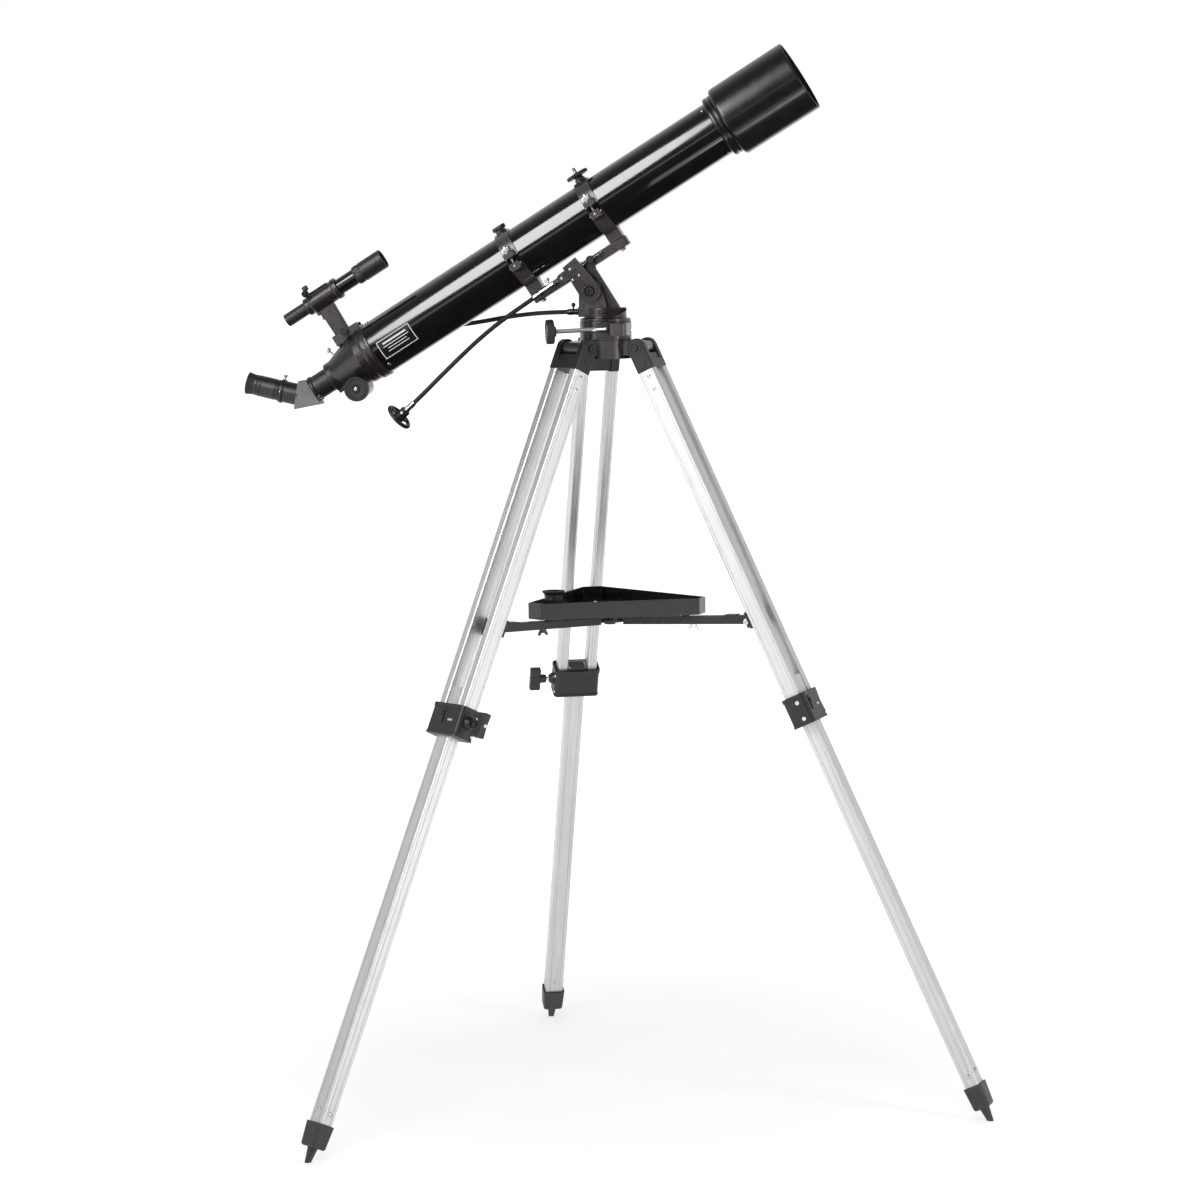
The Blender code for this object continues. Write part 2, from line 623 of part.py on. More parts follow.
def altitude_cradle(tilt):
    """Moving fork: near plate, far tongue and the crossbar under the bar."""
    plate_outline = hull(circle(17.5 * MM, (0, 0), 28) + [(-17 * MM, 54.5 * MM), (8.6 * MM, 58 * MM)])
    cradle = prism("altitude_cradle", plate_outline, -34 * MM, -26 * MM, plane="XZ")
    rear = link_point(LINK_REAR_ANGLE)
    ear = hull(circle(7 * MM, rear, 16) + [(-8 * MM, 50 * MM), (-8 * MM, 33 * MM)])
    ear_plate = prism("ear", ear, -34 * MM, -26 * MM, plane="XZ")
    cross = box("cross", (-17 * MM, -9 * MM), (-27 * MM, 13 * MM), (22.5 * MM, BAR_LOW - GAP))
    tongue_outline = hull(circle(15 * MM, (0, 0), 24) + [(-17 * MM, 43 * MM), (12 * MM, 43 * MM)])
    tongue = prism("tongue", tongue_outline, 12.3 * MM, 20 * MM, plane="XZ")
    fuse(cradle, ear_plate, cross, tongue)
    bore = rod("bore", 4.5 * MM, -60 * MM, 60 * MM, 18, "Y")
    sink = rod("sink", 8.6 * MM, -40 * MM, -29.5 * MM, 20, "Y")
    pin = rod("pin", 2.8 * MM, -40 * MM, -20 * MM, 12, "Y", (rear[0], 0, rear[1]))
    carve(cradle, bore, sink, pin)
    return finish(cradle, tilt, "hammered")


def mounting_bar(tilt):
    """Flat bar that both tube rings are screwed to."""
    outline = rounded(BAR_FRONT - BAR_REAR, 2 * BAR_HALF_WIDTH, 4 * MM, 3)
    middle = (BAR_FRONT + BAR_REAR) / 2
    bar = prism("mounting_bar", outline, BAR_LOW, BAR_HIGH)
    return finish(bar, tilt, "hammered", (middle, 0, 0))


def altitude_rod(tilt):
    """Fine-motion screw with its swivel block."""
    rear = link_point(LINK_REAR_ANGLE)
    front = link_point(LINK_FRONT_ANGLE)
    lean = math.atan2(front[1] - rear[1], front[0] - rear[0])
    block = rod("altitude_rod", 6 * MM, -4.2 * MM, 4 * MM, 20, "Y")
    pin = rod("pin", 2.5 * MM, -11.5 * MM, 0, 12, "Y")
    screw = rod("screw", ROD_RADIUS, -40 * MM, 76 * MM, 14, "X")
    fuse(block, pin, screw)
    turn = Matrix.Rotation(-lean, 4, "Y")
    return finish(block, tilt, "chrome", (rear[0], LINK_PLANE, rear[1]), turn)


def altitude_nut(table):
    """Brass swivel nut that the fine-motion screw runs through."""
    front = link_point(LINK_FRONT_ANGLE + TUBE_ELEVATION)
    rear = link_point(LINK_REAR_ANGLE + TUBE_ELEVATION)
    lean = math.atan2(front[1] - rear[1], front[0] - rear[0])
    block = rod("altitude_nut", 6.2 * MM, -4.5 * MM, 3.7 * MM, 20, "Y")
    pin = rod("pin", 2.1 * MM, 3 * MM, 8 * MM, 12, "Y")
    fuse(block, pin)
    carve(block, rod("bore", ROD_RADIUS + 0.3 * MM, -20 * MM, 20 * MM, 14, "X"))
    turn = Matrix.Rotation(-lean, 4, "Y")
    place = (PIVOT_R + front[0], LINK_PLANE, PIVOT_HEIGHT + front[1])
    return finish(block, table, "brass", place, turn)


def cable_knob(name, parent, place, direction):
    """Hub with a ring grip on three spokes, on a cable's end."""
    hub = rod(name, 8 * MM, 0, 20 * MM, 14)
    tube = 3.3 * MM
    ring_radius = 20.5 * MM
    loop = []
    for k in range(6):
        turn = 2 * math.pi * k / 6
        loop.append((ring_radius + tube * math.cos(turn), 17 * MM + tube * math.sin(turn)))
    ring = turned("ring", loop, 22, closed=True)
    spokes = []
    for k in range(3):
        spoke = box("spoke", (4 * MM, ring_radius), (-3 * MM, 3 * MM), (14.5 * MM, 19 * MM))
        spoke.data.transform(Matrix.Rotation(2 * math.pi * k / 3, 4, "Z"))
        spokes.append(spoke)
    fuse(hub, *spokes, ring)
    return finish(hub, parent, "black_plastic", place, along(direction).to_4x4())


def cable(name, parent, points, steps):
    """Flexible shaft with a ferrule at each end, and where its knob goes."""
    route = smooth_route(points, steps)
    radii = [CABLE_RADIUS] * len(route)
    for k in (0, 1, len(route) - 2, len(route) - 1):
        radii[k] = 5.0 * MM
    piece = swept(name, route, radii)
    ahead = (route[-1] - route[-2]).normalized()
    finish(piece, parent, "cable_black")
    return tuple(route[-1] + ahead * GAP), tuple(ahead)


# ---------------------------------------------------------------- optical tube

def main_tube(ota):
    """Long hollow tube."""
    inner = TUBE_RADIUS - TUBE_WALL
    profile = [(TUBE_RADIUS, TUBE_REAR), (TUBE_RADIUS, TUBE_FRONT), (inner, TUBE_FRONT), (inner, TUBE_REAR)]
    return finish(turned("main_tube", profile, 32, "X", closed=True), ota, "tube_black")


def lens_cell(ota):
    """Ring that holds the objective, with a collar for the dew shield."""
    rear = TUBE_FRONT + GAP
    seat = rear + 8 * MM
    profile = [(42 * MM, rear), (CELL_RADIUS - MM, rear), (CELL_RADIUS, rear + MM),
               (CELL_RADIUS, CELL_FRONT), (49.1 * MM, CELL_FRONT), (49.1 * MM, CELL_FRONT + 14 * MM),
               (45.5 * MM, CELL_FRONT + 14 * MM), (45.5 * MM, seat), (42 * MM, seat)]
    return finish(turned("lens_cell", profile, 28, "X", closed=True), ota, "shield_black")


def objective_lens(ota):
    """Cemented objective with a bulged front and rear."""
    rear = TUBE_FRONT + GAP + 8 * MM + GAP
    front = rear + 13 * MM
    profile = [(0, rear + MM), (40 * MM, rear), (45.2 * MM, rear), (45.2 * MM, front),
               (28 * MM, front + 1.8 * MM), (0, front + 2.9 * MM)]
    return finish(turned("objective_lens", profile, 24, "X"), ota, "lens_glass", crisp=50.0)


def dew_shield(ota):
    """Wide hood in front of the objective, on the cell's collar."""
    rear = CELL_FRONT + GAP
    wall = 2.2 * MM
    profile = [(49.4 * MM, rear), (SHIELD_RADIUS - 1.6 * MM, rear), (SHIELD_RADIUS - 0.4 * MM, rear + 1.5 * MM),
               (SHIELD_RADIUS, SHIELD_FRONT - MM), (SHIELD_RADIUS - MM, SHIELD_FRONT),
               (SHIELD_RADIUS - wall, SHIELD_FRONT), (SHIELD_RADIUS - wall, rear + 3 * MM),
               (51.6 * MM, rear + 3 * MM), (51.6 * MM, rear + 14 * MM), (49.4 * MM, rear + 14 * MM)]
    return finish(turned("dew_shield", profile, 32, "X", closed=True), ota, "shield_black")


def focuser_housing(ota):
    """Cone-shaped rear housing with the finder shoe and the pinion case."""
    front = TUBE_REAR + 10 * MM
    lip = TUBE_RADIUS + 0.35 * MM
    bore = DRAW_RADIUS + 0.45 * MM
    profile = [(lip, front), (46.4 * MM, front), (47.2 * MM, front - MM), (47.2 * MM, -362 * MM),
               (44 * MM, -364 * MM), (44 * MM, -377 * MM), (25.5 * MM, -427 * MM), (25.5 * MM, -438 * MM),
               (bore, -438 * MM), (bore, -404 * MM), (24 * MM, -402 * MM), (38 * MM, -374 * MM),
               (38 * MM, TUBE_REAR - GAP), (lip, TUBE_REAR - GAP)]
    house = turned("focuser_housing", profile, 28, "X", closed=True)
    low = -PINION_DROP
    case = hull(circle(13.6 * MM, (PINION_X, low), 18) + [(-424 * MM, -22 * MM), (-384 * MM, -30 * MM)])
    pinion_case = prism("pinion_case", case, -22 * MM, 22 * MM, plane="XZ")
    shoe = box("shoe", (-399 * MM, -350.5 * MM), (-16 * MM, 16 * MM), (30 * MM, 54 * MM))
    fuse(house, pinion_case, shoe)
    slot = [(-11 * MM, 46 * MM), (11 * MM, 46 * MM), (8.6 * MM, 54.5 * MM), (-8.6 * MM, 54.5 * MM)]
    groove = prism("groove", slot, -405 * MM, -356 * MM, plane="YZ")
    clear_bore = rod("clear", bore, -440 * MM, -400 * MM, 28, "X")
    clear_tube = rod("clear", lip, TUBE_REAR - GAP, TUBE_REAR + 20 * MM, 28, "X")
    clear_cone = turned("clear", [(0, -404 * MM), (bore, -404 * MM), (24 * MM, -402 * MM), (38 * MM, -374 * MM),
                                  (38 * MM, TUBE_REAR - GAP), (0, TUBE_REAR - GAP)], 28, "X")
    rack_way = box("rack", (-440 * MM, -360 * MM), (-4 * MM, 4 * MM), (-28.6 * MM, 0))
    pinion_hole = rod("pinion", 12.6 * MM, -5 * MM, 5 * MM, 20, "Y", (PINION_X, 0, low))
    shaft_hole = rod("shaft", 3.3 * MM, -30 * MM, 30 * MM, 14, "Y", (PINION_X, 0, low))
    carve(house, groove, clear_bore, clear_cone, clear_tube, rack_way, pinion_hole, shaft_hole)
    return finish(house, ota, "hammered")


def drawtube(ota):
    """Sliding tube with its rack and a socket for the diagonal."""
    outer = DRAW_RADIUS
    profile = [(outer, DRAW_REAR), (outer, DRAW_FRONT), (17.5 * MM, DRAW_FRONT), (17.5 * MM, -450 * MM),
               (16.1 * MM, -450 * MM), (16.1 * MM, DRAW_REAR)]
    draw = turned("drawtube", profile, 28, "X", closed=True)
    rack = box("rack", (-438 * MM, -334 * MM), (-3.5 * MM, 3.5 * MM), (-28 * MM, -19 * MM))
    return finish(fuse(draw, rack), ota, "tube_black")


def focus_shaft(ota):
    """Pinion shaft with the focus knob on its near end and a cap on the far end."""
    shaft = rod("focus_shaft", 3.0 * MM, -46 * MM, 26 * MM, 14, "Y")
    pinion = rod("pinion", 11.6 * MM, -4.4 * MM, 4.4 * MM, 16, "Y")
    profile = [(0, -33 * MM), (9 * MM, -33 * MM), (10 * MM, -40 * MM), (KNOB_RADIUS - MM, -40 * MM),
               (KNOB_RADIUS, -41 * MM), (KNOB_RADIUS, -53 * MM), (KNOB_RADIUS - MM, -54 * MM),
               (0, -54 * MM)]
    knob = turned("knob", profile, 24, "Y")
    cap_profile = [(0, 23 * MM), (8 * MM, 23 * MM), (8 * MM, 29 * MM), (7 * MM, 30 * MM), (0, 30 * MM)]
    cap = turned("cap", cap_profile, 18, "Y")
    fuse(shaft, pinion, knob, cap)
    return finish(shaft, ota, "black_plastic", (PINION_X, 0, -PINION_DROP))


def eyepiece_turn():
    """Rotation that takes +X to the eyepiece's direction."""
    return Matrix.Rotation(math.radians(-135), 4, "Y")


def star_diagonal(ota):
    """45 degree prism diagonal with its barrel and its eyepiece socket."""
    wedge = [(-472.6 * MM, -27 * MM), (-472.6 * MM, 19.5 * MM), (-484 * MM, 24.5 * MM), (-515 * MM, -10.5 * MM)]
    diagonal = prism("star_diagonal", wedge, -17.5 * MM, 17.5 * MM, plane="XZ")
    barrel = turned("barrel", [(0, -474 * MM), (15.8 * MM, -474 * MM), (15.8 * MM, -451 * MM), (14 * MM, -451 * MM),
                               (14 * MM, -468 * MM), (0, -468 * MM)], 20, "X")
    socket = turned("socket", [(0, -3 * MM), (17.6 * MM, -3 * MM), (17.6 * MM, 23 * MM), (19.4 * MM, 23.5 * MM),
                               (19.4 * MM, 30 * MM), (0, 30 * MM)], 22, "X")
    hole = rod("hole", 16.15 * MM, 4 * MM, 40 * MM, 22, "X")
    place = Matrix.Translation((EYEPIECE_FACE[0], 0, EYEPIECE_FACE[1])) @ eyepiece_turn()
    socket.data.transform(place)
    hole.data.transform(place)
    fuse(diagonal, socket, barrel)
    carve(diagonal, hole)
    return finish(diagonal, ota, "housing_grey")


def eyepiece(ota):
    """Eyepiece with its barrel in the diagonal's socket."""
    profile = [(0, 9 * MM), (15.8 * MM, 9 * MM), (15.8 * MM, 30.3 * MM), (16.4 * MM, 30.3 * MM),
               (16.8 * MM, 34 * MM), (16.2 * MM, 36 * MM), (16.2 * MM, 78 * MM), (18 * MM, 83 * MM),
               (18 * MM, 85.5 * MM), (11 * MM, 85.5 * MM), (9 * MM, 81 * MM), (0, 81 * MM)]
    piece = turned("eyepiece", profile, 22, "X")
    place = (EYEPIECE_FACE[0], 0, EYEPIECE_FACE[1])
    return finish(piece, ota, "black_plastic", place, eyepiece_turn())


def finder_bracket(ota):
    """Finder holder: stepped barrel, stalk and dovetail foot."""
    rise = FINDER_RISE
    profile = [(12.4 * MM, -410 * MM), (14.6 * MM, -410 * MM), (14.8 * MM, -401 * MM), (16.6 * MM, -399 * MM),
               (16.6 * MM, -356 * MM), (17.8 * MM, -355 * MM), (17.8 * MM, -348 * MM), (15 * MM, -348 * MM),
               (15 * MM, -398 * MM), (12.4 * MM, -401 * MM)]
    barrel = turned("finder_bracket", profile, 22, "X", (0, 0, rise), closed=True)
    stalk_outline = [(-394 * MM, 50 * MM), (-369 * MM, 50 * MM), (-367.5 * MM, 101 * MM), (-395.5 * MM, 101 * MM)]
    stalk = prism("stalk", stalk_outline, -4.5 * MM, 4.5 * MM, plane="XZ")
    foot_outline = [(-10.6 * MM, 46.3 * MM), (10.6 * MM, 46.3 * MM), (8.6 * MM, 53.4 * MM), (-8.6 * MM, 53.4 * MM)]
    foot = prism("foot", foot_outline, -397 * MM, -357 * MM, plane="YZ")
    fuse(barrel, stalk, foot)
    inside = rod("inside", 15 * MM, -398 * MM, -340 * MM, 22, "X", (0, 0, rise))
    carve(barrel, inside)
    return finish(barrel, ota, "hammered")


def finder_tube(ota):
    """Small finder telescope, recessed at both ends."""
    profile = [(0, -444 * MM), (7 * MM, -444 * MM), (8.5 * MM, -450 * MM), (10.4 * MM, -450 * MM),
               (10.8 * MM, -448 * MM), (10.8 * MM, -400 * MM), (13 * MM, -396 * MM), (13 * MM, -314 * MM),
               (15.4 * MM, -313 * MM), (16 * MM, -302 * MM), (16 * MM, -260.5 * MM),
               (14.2 * MM, -260.5 * MM), (14 * MM, -274 * MM), (0, -272.6 * MM)]
    middle = -379 * MM
    profile = [(r, x - middle) for r, x in profile]
    piece = turned("finder_tube", profile, 20, "X")
    return finish(piece, ota, "tube_black", (middle, 0, FINDER_RISE))


def ring_band(name, low, high):
    """Arc of ring band between two angles, seen along X."""
    steps = 13
    outer = circle(RING_OUTER, (0, 0), steps, low, high - low)
    inner = circle(RING_INNER, (0, 0), steps, low, high - low)
    half = RING_WIDTH / 2
    return prism(name, outer + inner[::-1], -half, half, plane="YZ")


def ring_lower(ota, name, centre):
    """Lower half of a tube ring with its foot, ear and hinge knuckle."""
    half = RING_WIDTH / 2
    near = math.pi + math.asin(8 * MM / RING_OUTER)
    band = ring_band("ring_lower_" + name, near, 2 * math.pi - math.asin(1.2 * MM / RING_OUTER))
    foot = box("foot", (-half, half), (-13 * MM, 13 * MM), (BAR_HIGH + GAP - AXIS_RISE, -44 * MM))
    ear = box("ear", (-9 * MM, 9 * MM), (-68 * MM, -44 * MM), (-20 * MM, -8 * MM))
    knuckle = box("knuckle", (-half, half), (46 * MM, 56 * MM), (-10 * MM, -0.9 * MM))
    fuse(band, foot, ear, knuckle)
    inside = rod("inside", RING_INNER, -20 * MM, 20 * MM, 32, "X")
    hole = rod("hole", 2.9 * MM, -30 * MM, 0, 12, "Z", (0, -EAR_PLACE, 0))
    carve(band, inside, hole)
    return finish(band, ota, "hammered", (centre, 0, 0))


def ring_cap(ota, name, centre):
    """Upper half of a tube ring with its ear, hinge knuckle and top boss."""
    half = RING_WIDTH / 2
    near = math.pi - math.asin(2 * MM / RING_OUTER)
    band = ring_band("ring_cap_" + name, -math.asin(-1.2 * MM / RING_OUTER), near)
    ear = box("ear", (-9 * MM, 9 * MM), (-68 * MM, -44 * MM), (2 * MM, 10 * MM))
    knuckle = box("knuckle", (-half, half), (46 * MM, 56 * MM), (0.9 * MM, 10 * MM))
    boss = rod("boss", 9 * MM, 40 * MM, 52.4 * MM, 20)
    fuse(band, ear, knuckle, boss)
    inside = rod("inside", RING_INNER, -20 * MM, 20 * MM, 32, "X")
    hole = rod("hole", 2.9 * MM, 0, 30 * MM, 12, "Z", (0, -EAR_PLACE, 0))
    carve(band, inside, hole)
    return finish(band, ota, "hammered", (centre, 0, 0))


def ring_knob(ota, name, centre):
    """Thumb nut and its screw, through both ears of a tube ring."""
    profile = [(0, -19 * MM), (2.5 * MM, -19 * MM), (2.5 * MM, 10.3 * MM), (10.6 * MM, 10.3 * MM),
               (10.6 * MM, 18.6 * MM), (4 * MM, 18.6 * MM), (3.4 * MM, 22 * MM), (0, 22 * MM)]
    knob = turned("ring_knob_" + name, profile, 16)
    return finish(knob, ota, "black_plastic", (centre, -EAR_PLACE, 0))


def camera_knob(ota):
    """Camera screw with its knurled disc, on top of the front ring."""
    profile = [(0, 52.7 * MM), (7.5 * MM, 52.7 * MM), (7.5 * MM, 56.5 * MM), (17.8 * MM, 56.9 * MM),
               (18.5 * MM, 58 * MM), (18.5 * MM, 61 * MM), (17.8 * MM, 62 * MM), (3 * MM, 62 * MM),
               (3 * MM, 71.5 * MM), (2.2 * MM, 72.4 * MM), (0, 72.4 * MM)]
    knob = turned("camera_knob", profile, 20)
    return finish(knob, ota, "black_plastic", (RING_CENTRES[0][1], 0, 0))


def tilt_place(heading, lateral, height):
    """Turn a place beside the azimuth axis into the altitude frame."""
    turn = Matrix.Rotation(math.radians(TUBE_ELEVATION), 4, "Y")
    return tuple(turn @ Vector((heading - PIVOT_R, lateral, height - PIVOT_HEIGHT)))


def build():
    """Build the whole telescope."""
    clear_scene()
    rig = frame("rig", None, (AXIS_X, AXIS_Y, 0))
    tripod_head(rig)
    for name, azimuth in zip(LEG_NAMES, LEG_AZIMUTHS):
        leg = leg_frame(rig, name, azimuth)
        leg_yoke(leg, name)
        leg_rail(leg, name + "1", 1)
        leg_rail(leg, name + "2", -1)
        leg_clamp(leg, name)
        lower_leg(leg, name)
        leg_foot(leg, name)
        clamp_knob(leg, name)
        spreader_arm(rig, name, azimuth)
    spreader_hub(rig)
    tray(rig)
    spare_eyepiece(rig)

    table = frame("turntable", rig, turn=Matrix.Rotation(math.radians(TUBE_HEADING), 4, "Z"))
    azimuth_base(table)
    azimuth_lock_knob(table)
    azimuth_column(table)
    altitude_bolt(table)
    altitude_nut(table)
    table_ends = [(-45.4, 11, 1277.5), (-62, 13, 1277.3), (-95, 36, 1276), (-130, 62, 1273.5),
                  (-172, 79, 1268.5), (-225, 88, 1260), (-300, 93, 1250), (-376, 95, 1241)]
    end, ahead = cable("azimuth_cable", table, [Vector(p) * MM for p in table_ends], 28)
    cable_knob("azimuth_cable_knob", table, end, ahead)

    turn = Matrix.Rotation(math.radians(-TUBE_ELEVATION), 4, "Y")
    tilt = frame("altitude_axis", table, (PIVOT_R, 0, PIVOT_HEIGHT), turn)
    altitude_cradle(tilt)
    mounting_bar(tilt)
    altitude_rod(tilt)
    rear = link_point(LINK_REAR_ANGLE)
    ends = [(rear[0] - 40.5 * MM, LINK_PLANE, rear[1] - 0.9 * MM),
            (rear[0] - 56 * MM, LINK_PLANE - MM, rear[1] - 2 * MM)]
    hanging = [(-153, -38, 1272), (-182, -51, 1249), (-211, -62, 1223), (-252, -72, 1183.5),
               (-284.5, -76.5, 1151.5), (-312.7, -72.6, 1126.3)]
    ends += [tilt_place(*[v * MM for v in spot]) for spot in hanging]
    end, ahead = cable("altitude_cable", tilt, ends, 26)
    cable_knob("altitude_cable_knob", tilt, end, ahead)

    ota = frame("tube_axis", tilt, (0, 0, AXIS_RISE))
    main_tube(ota)
    lens_cell(ota)
    objective_lens(ota)
    dew_shield(ota)
    focuser_housing(ota)
    drawtube(ota)
    focus_shaft(ota)
    star_diagonal(ota)
    eyepiece(ota)
    finder_bracket(ota)
    finder_tube(ota)
    for name, centre in RING_CENTRES:
        ring_lower(ota, name, centre)
        ring_cap(ota, name, centre)
        ring_knob(ota, name, centre)
    camera_knob(ota)
    bpy.context.view_layer.update()


build()
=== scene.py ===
"""Looks of the refractor telescope: camera, stage, materials and fitted detail.

Lengths are in millimetres times MM.  Every piece is made in the frame of the
part that it sits on, and rides on that part's body.
"""

import math

import bmesh
import bpy
from mathutils import Matrix, Vector
from mathutils.geometry import convex_hull_2d


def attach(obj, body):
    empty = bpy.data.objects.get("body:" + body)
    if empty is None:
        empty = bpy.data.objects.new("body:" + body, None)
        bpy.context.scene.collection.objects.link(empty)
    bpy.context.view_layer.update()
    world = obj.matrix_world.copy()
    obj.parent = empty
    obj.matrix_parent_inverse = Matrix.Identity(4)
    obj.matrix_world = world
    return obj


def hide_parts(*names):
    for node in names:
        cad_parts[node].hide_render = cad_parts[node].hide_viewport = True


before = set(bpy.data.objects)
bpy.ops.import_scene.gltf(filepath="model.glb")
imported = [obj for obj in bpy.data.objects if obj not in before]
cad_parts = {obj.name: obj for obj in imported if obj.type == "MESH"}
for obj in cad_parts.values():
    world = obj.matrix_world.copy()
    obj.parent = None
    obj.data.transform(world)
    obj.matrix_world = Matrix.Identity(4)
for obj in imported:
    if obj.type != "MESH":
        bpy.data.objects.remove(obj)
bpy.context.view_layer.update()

MM = 0.001
PI = math.pi

# ---------------------------------------------------------------- frames

LEG_AZIMUTHS = {"a": -139.3, "b": -19.3, "c": 100.7}
HINGE = (61.2 * MM, 0, 1221.2 * MM)
LEAN = math.atan((624.3 - 61.2) / 1221.2)
TUBE_ELEVATION = 31.6


def spin(angle, axis):
    """Return a rotation by degrees about an axis."""
    return Matrix.Rotation(math.radians(angle), 4, axis)


def shift(x, y, z):
    """Return a translation in millimetres."""
    return Matrix.Translation((x * MM, y * MM, z * MM))


RIG = shift(-5.1, -99.1, 0)
LEG = {}
for leg_name, azimuth in LEG_AZIMUTHS.items():
    lean_turn = Matrix.Rotation(-LEAN, 4, "Y")
    LEG[leg_name] = RIG @ spin(azimuth, "Z") @ Matrix.Translation(HINGE) @ lean_turn
TABLE = RIG @ spin(-8.5, "Z")
TILT = TABLE @ shift(-20, 0, 1311) @ spin(-TUBE_ELEVATION, "Y")
OTA = TILT @ shift(0, 0, 109.2)
ALONG_X = Matrix(((0, 0, 1, 0), (0, 1, 0, 0), (-1, 0, 0, 0), (0, 0, 0, 1)))
ALONG_Y = Matrix(((1, 0, 0, 0), (0, 0, 1, 0), (0, -1, 0, 0), (0, 0, 0, 1)))
UPRIGHT = Matrix(((1, 0, 0, 0), (0, 0, -1, 0), (0, 1, 0, 0), (0, 0, 0, 1)))
ACROSS = Matrix(((0, 0, 1, 0), (1, 0, 0, 0), (0, 1, 0, 0), (0, 0, 0, 1)))
NEAR, FAR = (0, -1, 0), (0, 1, 0)
FRONT, REAR = (1, 0, 0), (-1, 0, 0)
UP, DOWN = (0, 0, 1), (0, 0, -1)

# ---------------------------------------------------------------- shared sizes, in mm

CAMERA_SPOT = (-5.1, -6099.1, 1440.3)
FRONT_RING, REAR_RING = 77.5, -75.0
PIVOT = (-20, 0, 1311)
LINK = 50
LINK_ANGLES = {"rear": 123.4, "front": 58.8}
SCREW_SIDE = -21
CLAMP_LOW, CLAMP_HIGH, CLAMP_KNOB = -656, -610, -630
PINION = (-402, 0, -40)
FINDER = (-379, 0, 117)
FINDER_SCREWS = (-6, 50)
LABEL_ENDS, LABEL_ANGLES = (-336.6, -274.8), (-34.2, 6.4)
INK_RADII = (44.95, 45.18)
TUBE_RADIUS = 45.0
RAIL_SIDE, RAIL_ENDS, RAIL_WALL = 24.6, (-609.7, -40.3), 1.7
YOKE_SIDE = 33.4
LOWER_TOPS, LOWER_END = {"a": -577, "b": -577, "c": -604}, -1283
WING_NUT_SPOT = 141
BRACKET_SPOT, BRACKET_HEIGHT = -25.5, -468
SPARE_SPOT, SPARE_AZIMUTH = 106.5, -147.3
CRISP_ANGLE, BEVEL_ANGLE = 42.0, 38.0
CARD_HEIGHT = -0.165  # in metres, from the tube's axis


def facing(at, direction):
    """Return a placement that takes +Z to a direction at a point in millimetres."""
    turn = Vector((0, 0, 1)).rotation_difference(Vector(direction)).to_matrix().to_4x4()
    return shift(*at) @ turn


# ---------------------------------------------------------------- solids

def lathe(rows, segments=48, closed=False):
    """Turn (radius, height) rows in mm about Z; a radius may be a function of the angle."""
    verts = []
    index = []
    for radius, height in rows:
        if not callable(radius) and radius <= 0:
            index.append([len(verts)])
            verts.append(Vector((0, 0, height * MM)))
            continue
        row = []
        for k in range(segments):
            turn = 2 * PI * k / segments
            size = (radius(turn) if callable(radius) else radius) * MM
            row.append(len(verts))
            verts.append(Vector((size * math.cos(turn), size * math.sin(turn), height * MM)))
        index.append(row)
    faces = []
    count = len(index)
    for k in range(count if closed else count - 1):
        low, high = index[k], index[(k + 1) % count]
        for j in range(segments):
            n = (j + 1) % segments
            if len(low) == 1:
                faces.append((low[0], high[j], high[n]))
            elif len(high) == 1:
                faces.append((low[j], low[n], high[0]))
            else:
                faces.append((low[j], low[n], high[n], high[j]))
    return verts, faces


def soften(points, radius, steps=3, closed=False):
    """Round the corners of a profile or an outline, in mm."""
    rounded = []
    count = len(points)
    for k, point in enumerate(points):
        if not closed and k in (0, count - 1):
            rounded.append(tuple(point))
            continue
        here = Vector(point)
        back = Vector(points[k - 1]) - here
        ahead = Vector(points[(k + 1) % count]) - here
        reach = min(radius, 0.45 * back.length, 0.45 * ahead.length)
        if reach < 0.02 or abs(back.angle(ahead) - PI) < 0.12:
            rounded.append(tuple(point))
            continue
        start = here + back.normalized() * reach
        end = here + ahead.normalized() * reach
        for j in range(steps + 1):
            t = j / steps
            spot = start * (1 - t) ** 2 + here * 2 * t * (1 - t) + end * t ** 2
            rounded.append(tuple(spot))
    return rounded


def ring(profile, radius=0.5, segments=96):
    """Turn a closed profile into a ring with soft edges."""
    return lathe(soften(profile, radius, 3, True), segments, True)


def turned(profile, radius=0.5, segments=64):
    """Turn an open profile from axis to axis, with soft edges."""
    return lathe(soften(profile, radius), segments)


def rod(radius, low, high, segments):
    """Make a plain round bar along Z."""
    return lathe([(0, low), (radius, low), (radius, high), (0, high)], segments)


def prism(outline, low, high):
    """Extrude an outline in mm along Z."""
    count = len(outline)
    verts = [Vector((x * MM, y * MM, low * MM)) for x, y in outline]
    verts += [Vector((x * MM, y * MM, high * MM)) for x, y in outline]
    faces = [tuple(range(count))[::-1], tuple(range(count, 2 * count))]
    faces += [(k, (k + 1) % count, count + (k + 1) % count, count + k) for k in range(count)]
    return verts, faces


def loft(sections):
    """Join outlines with the same number of points, each at its own height in mm."""
    count = len(sections[0][0])
    verts = [Vector((x * MM, y * MM, height * MM)) for outline, height in sections for x, y in outline]
    last = count * (len(sections) - 1)
    faces = [tuple(range(count))[::-1], tuple(range(last, last + count))]
    for start in range(0, last, count):
        for k in range(count):
            n = (k + 1) % count
            faces.append((start + k, start + n, start + count + n, start + count + k))
    return verts, faces


def pipe(outline, inner, low, high):
    """Extrude the band between two outlines with the same number of points."""
    count = len(outline)
    verts = []
    for height in (low, high):
        for loop in (outline, inner):
            verts += [Vector((x * MM, y * MM, height * MM)) for x, y in loop]
    faces = []
    for k in range(count):
        n = (k + 1) % count
        a, b, c, d = k, count + k, 2 * count + k, 3 * count + k
        e, f, g, h = n, count + n, 2 * count + n, 3 * count + n
        faces += [(a, e, g, c), (b, d, h, f), (a, b, f, e), (c, g, h, d)]
    return verts, faces


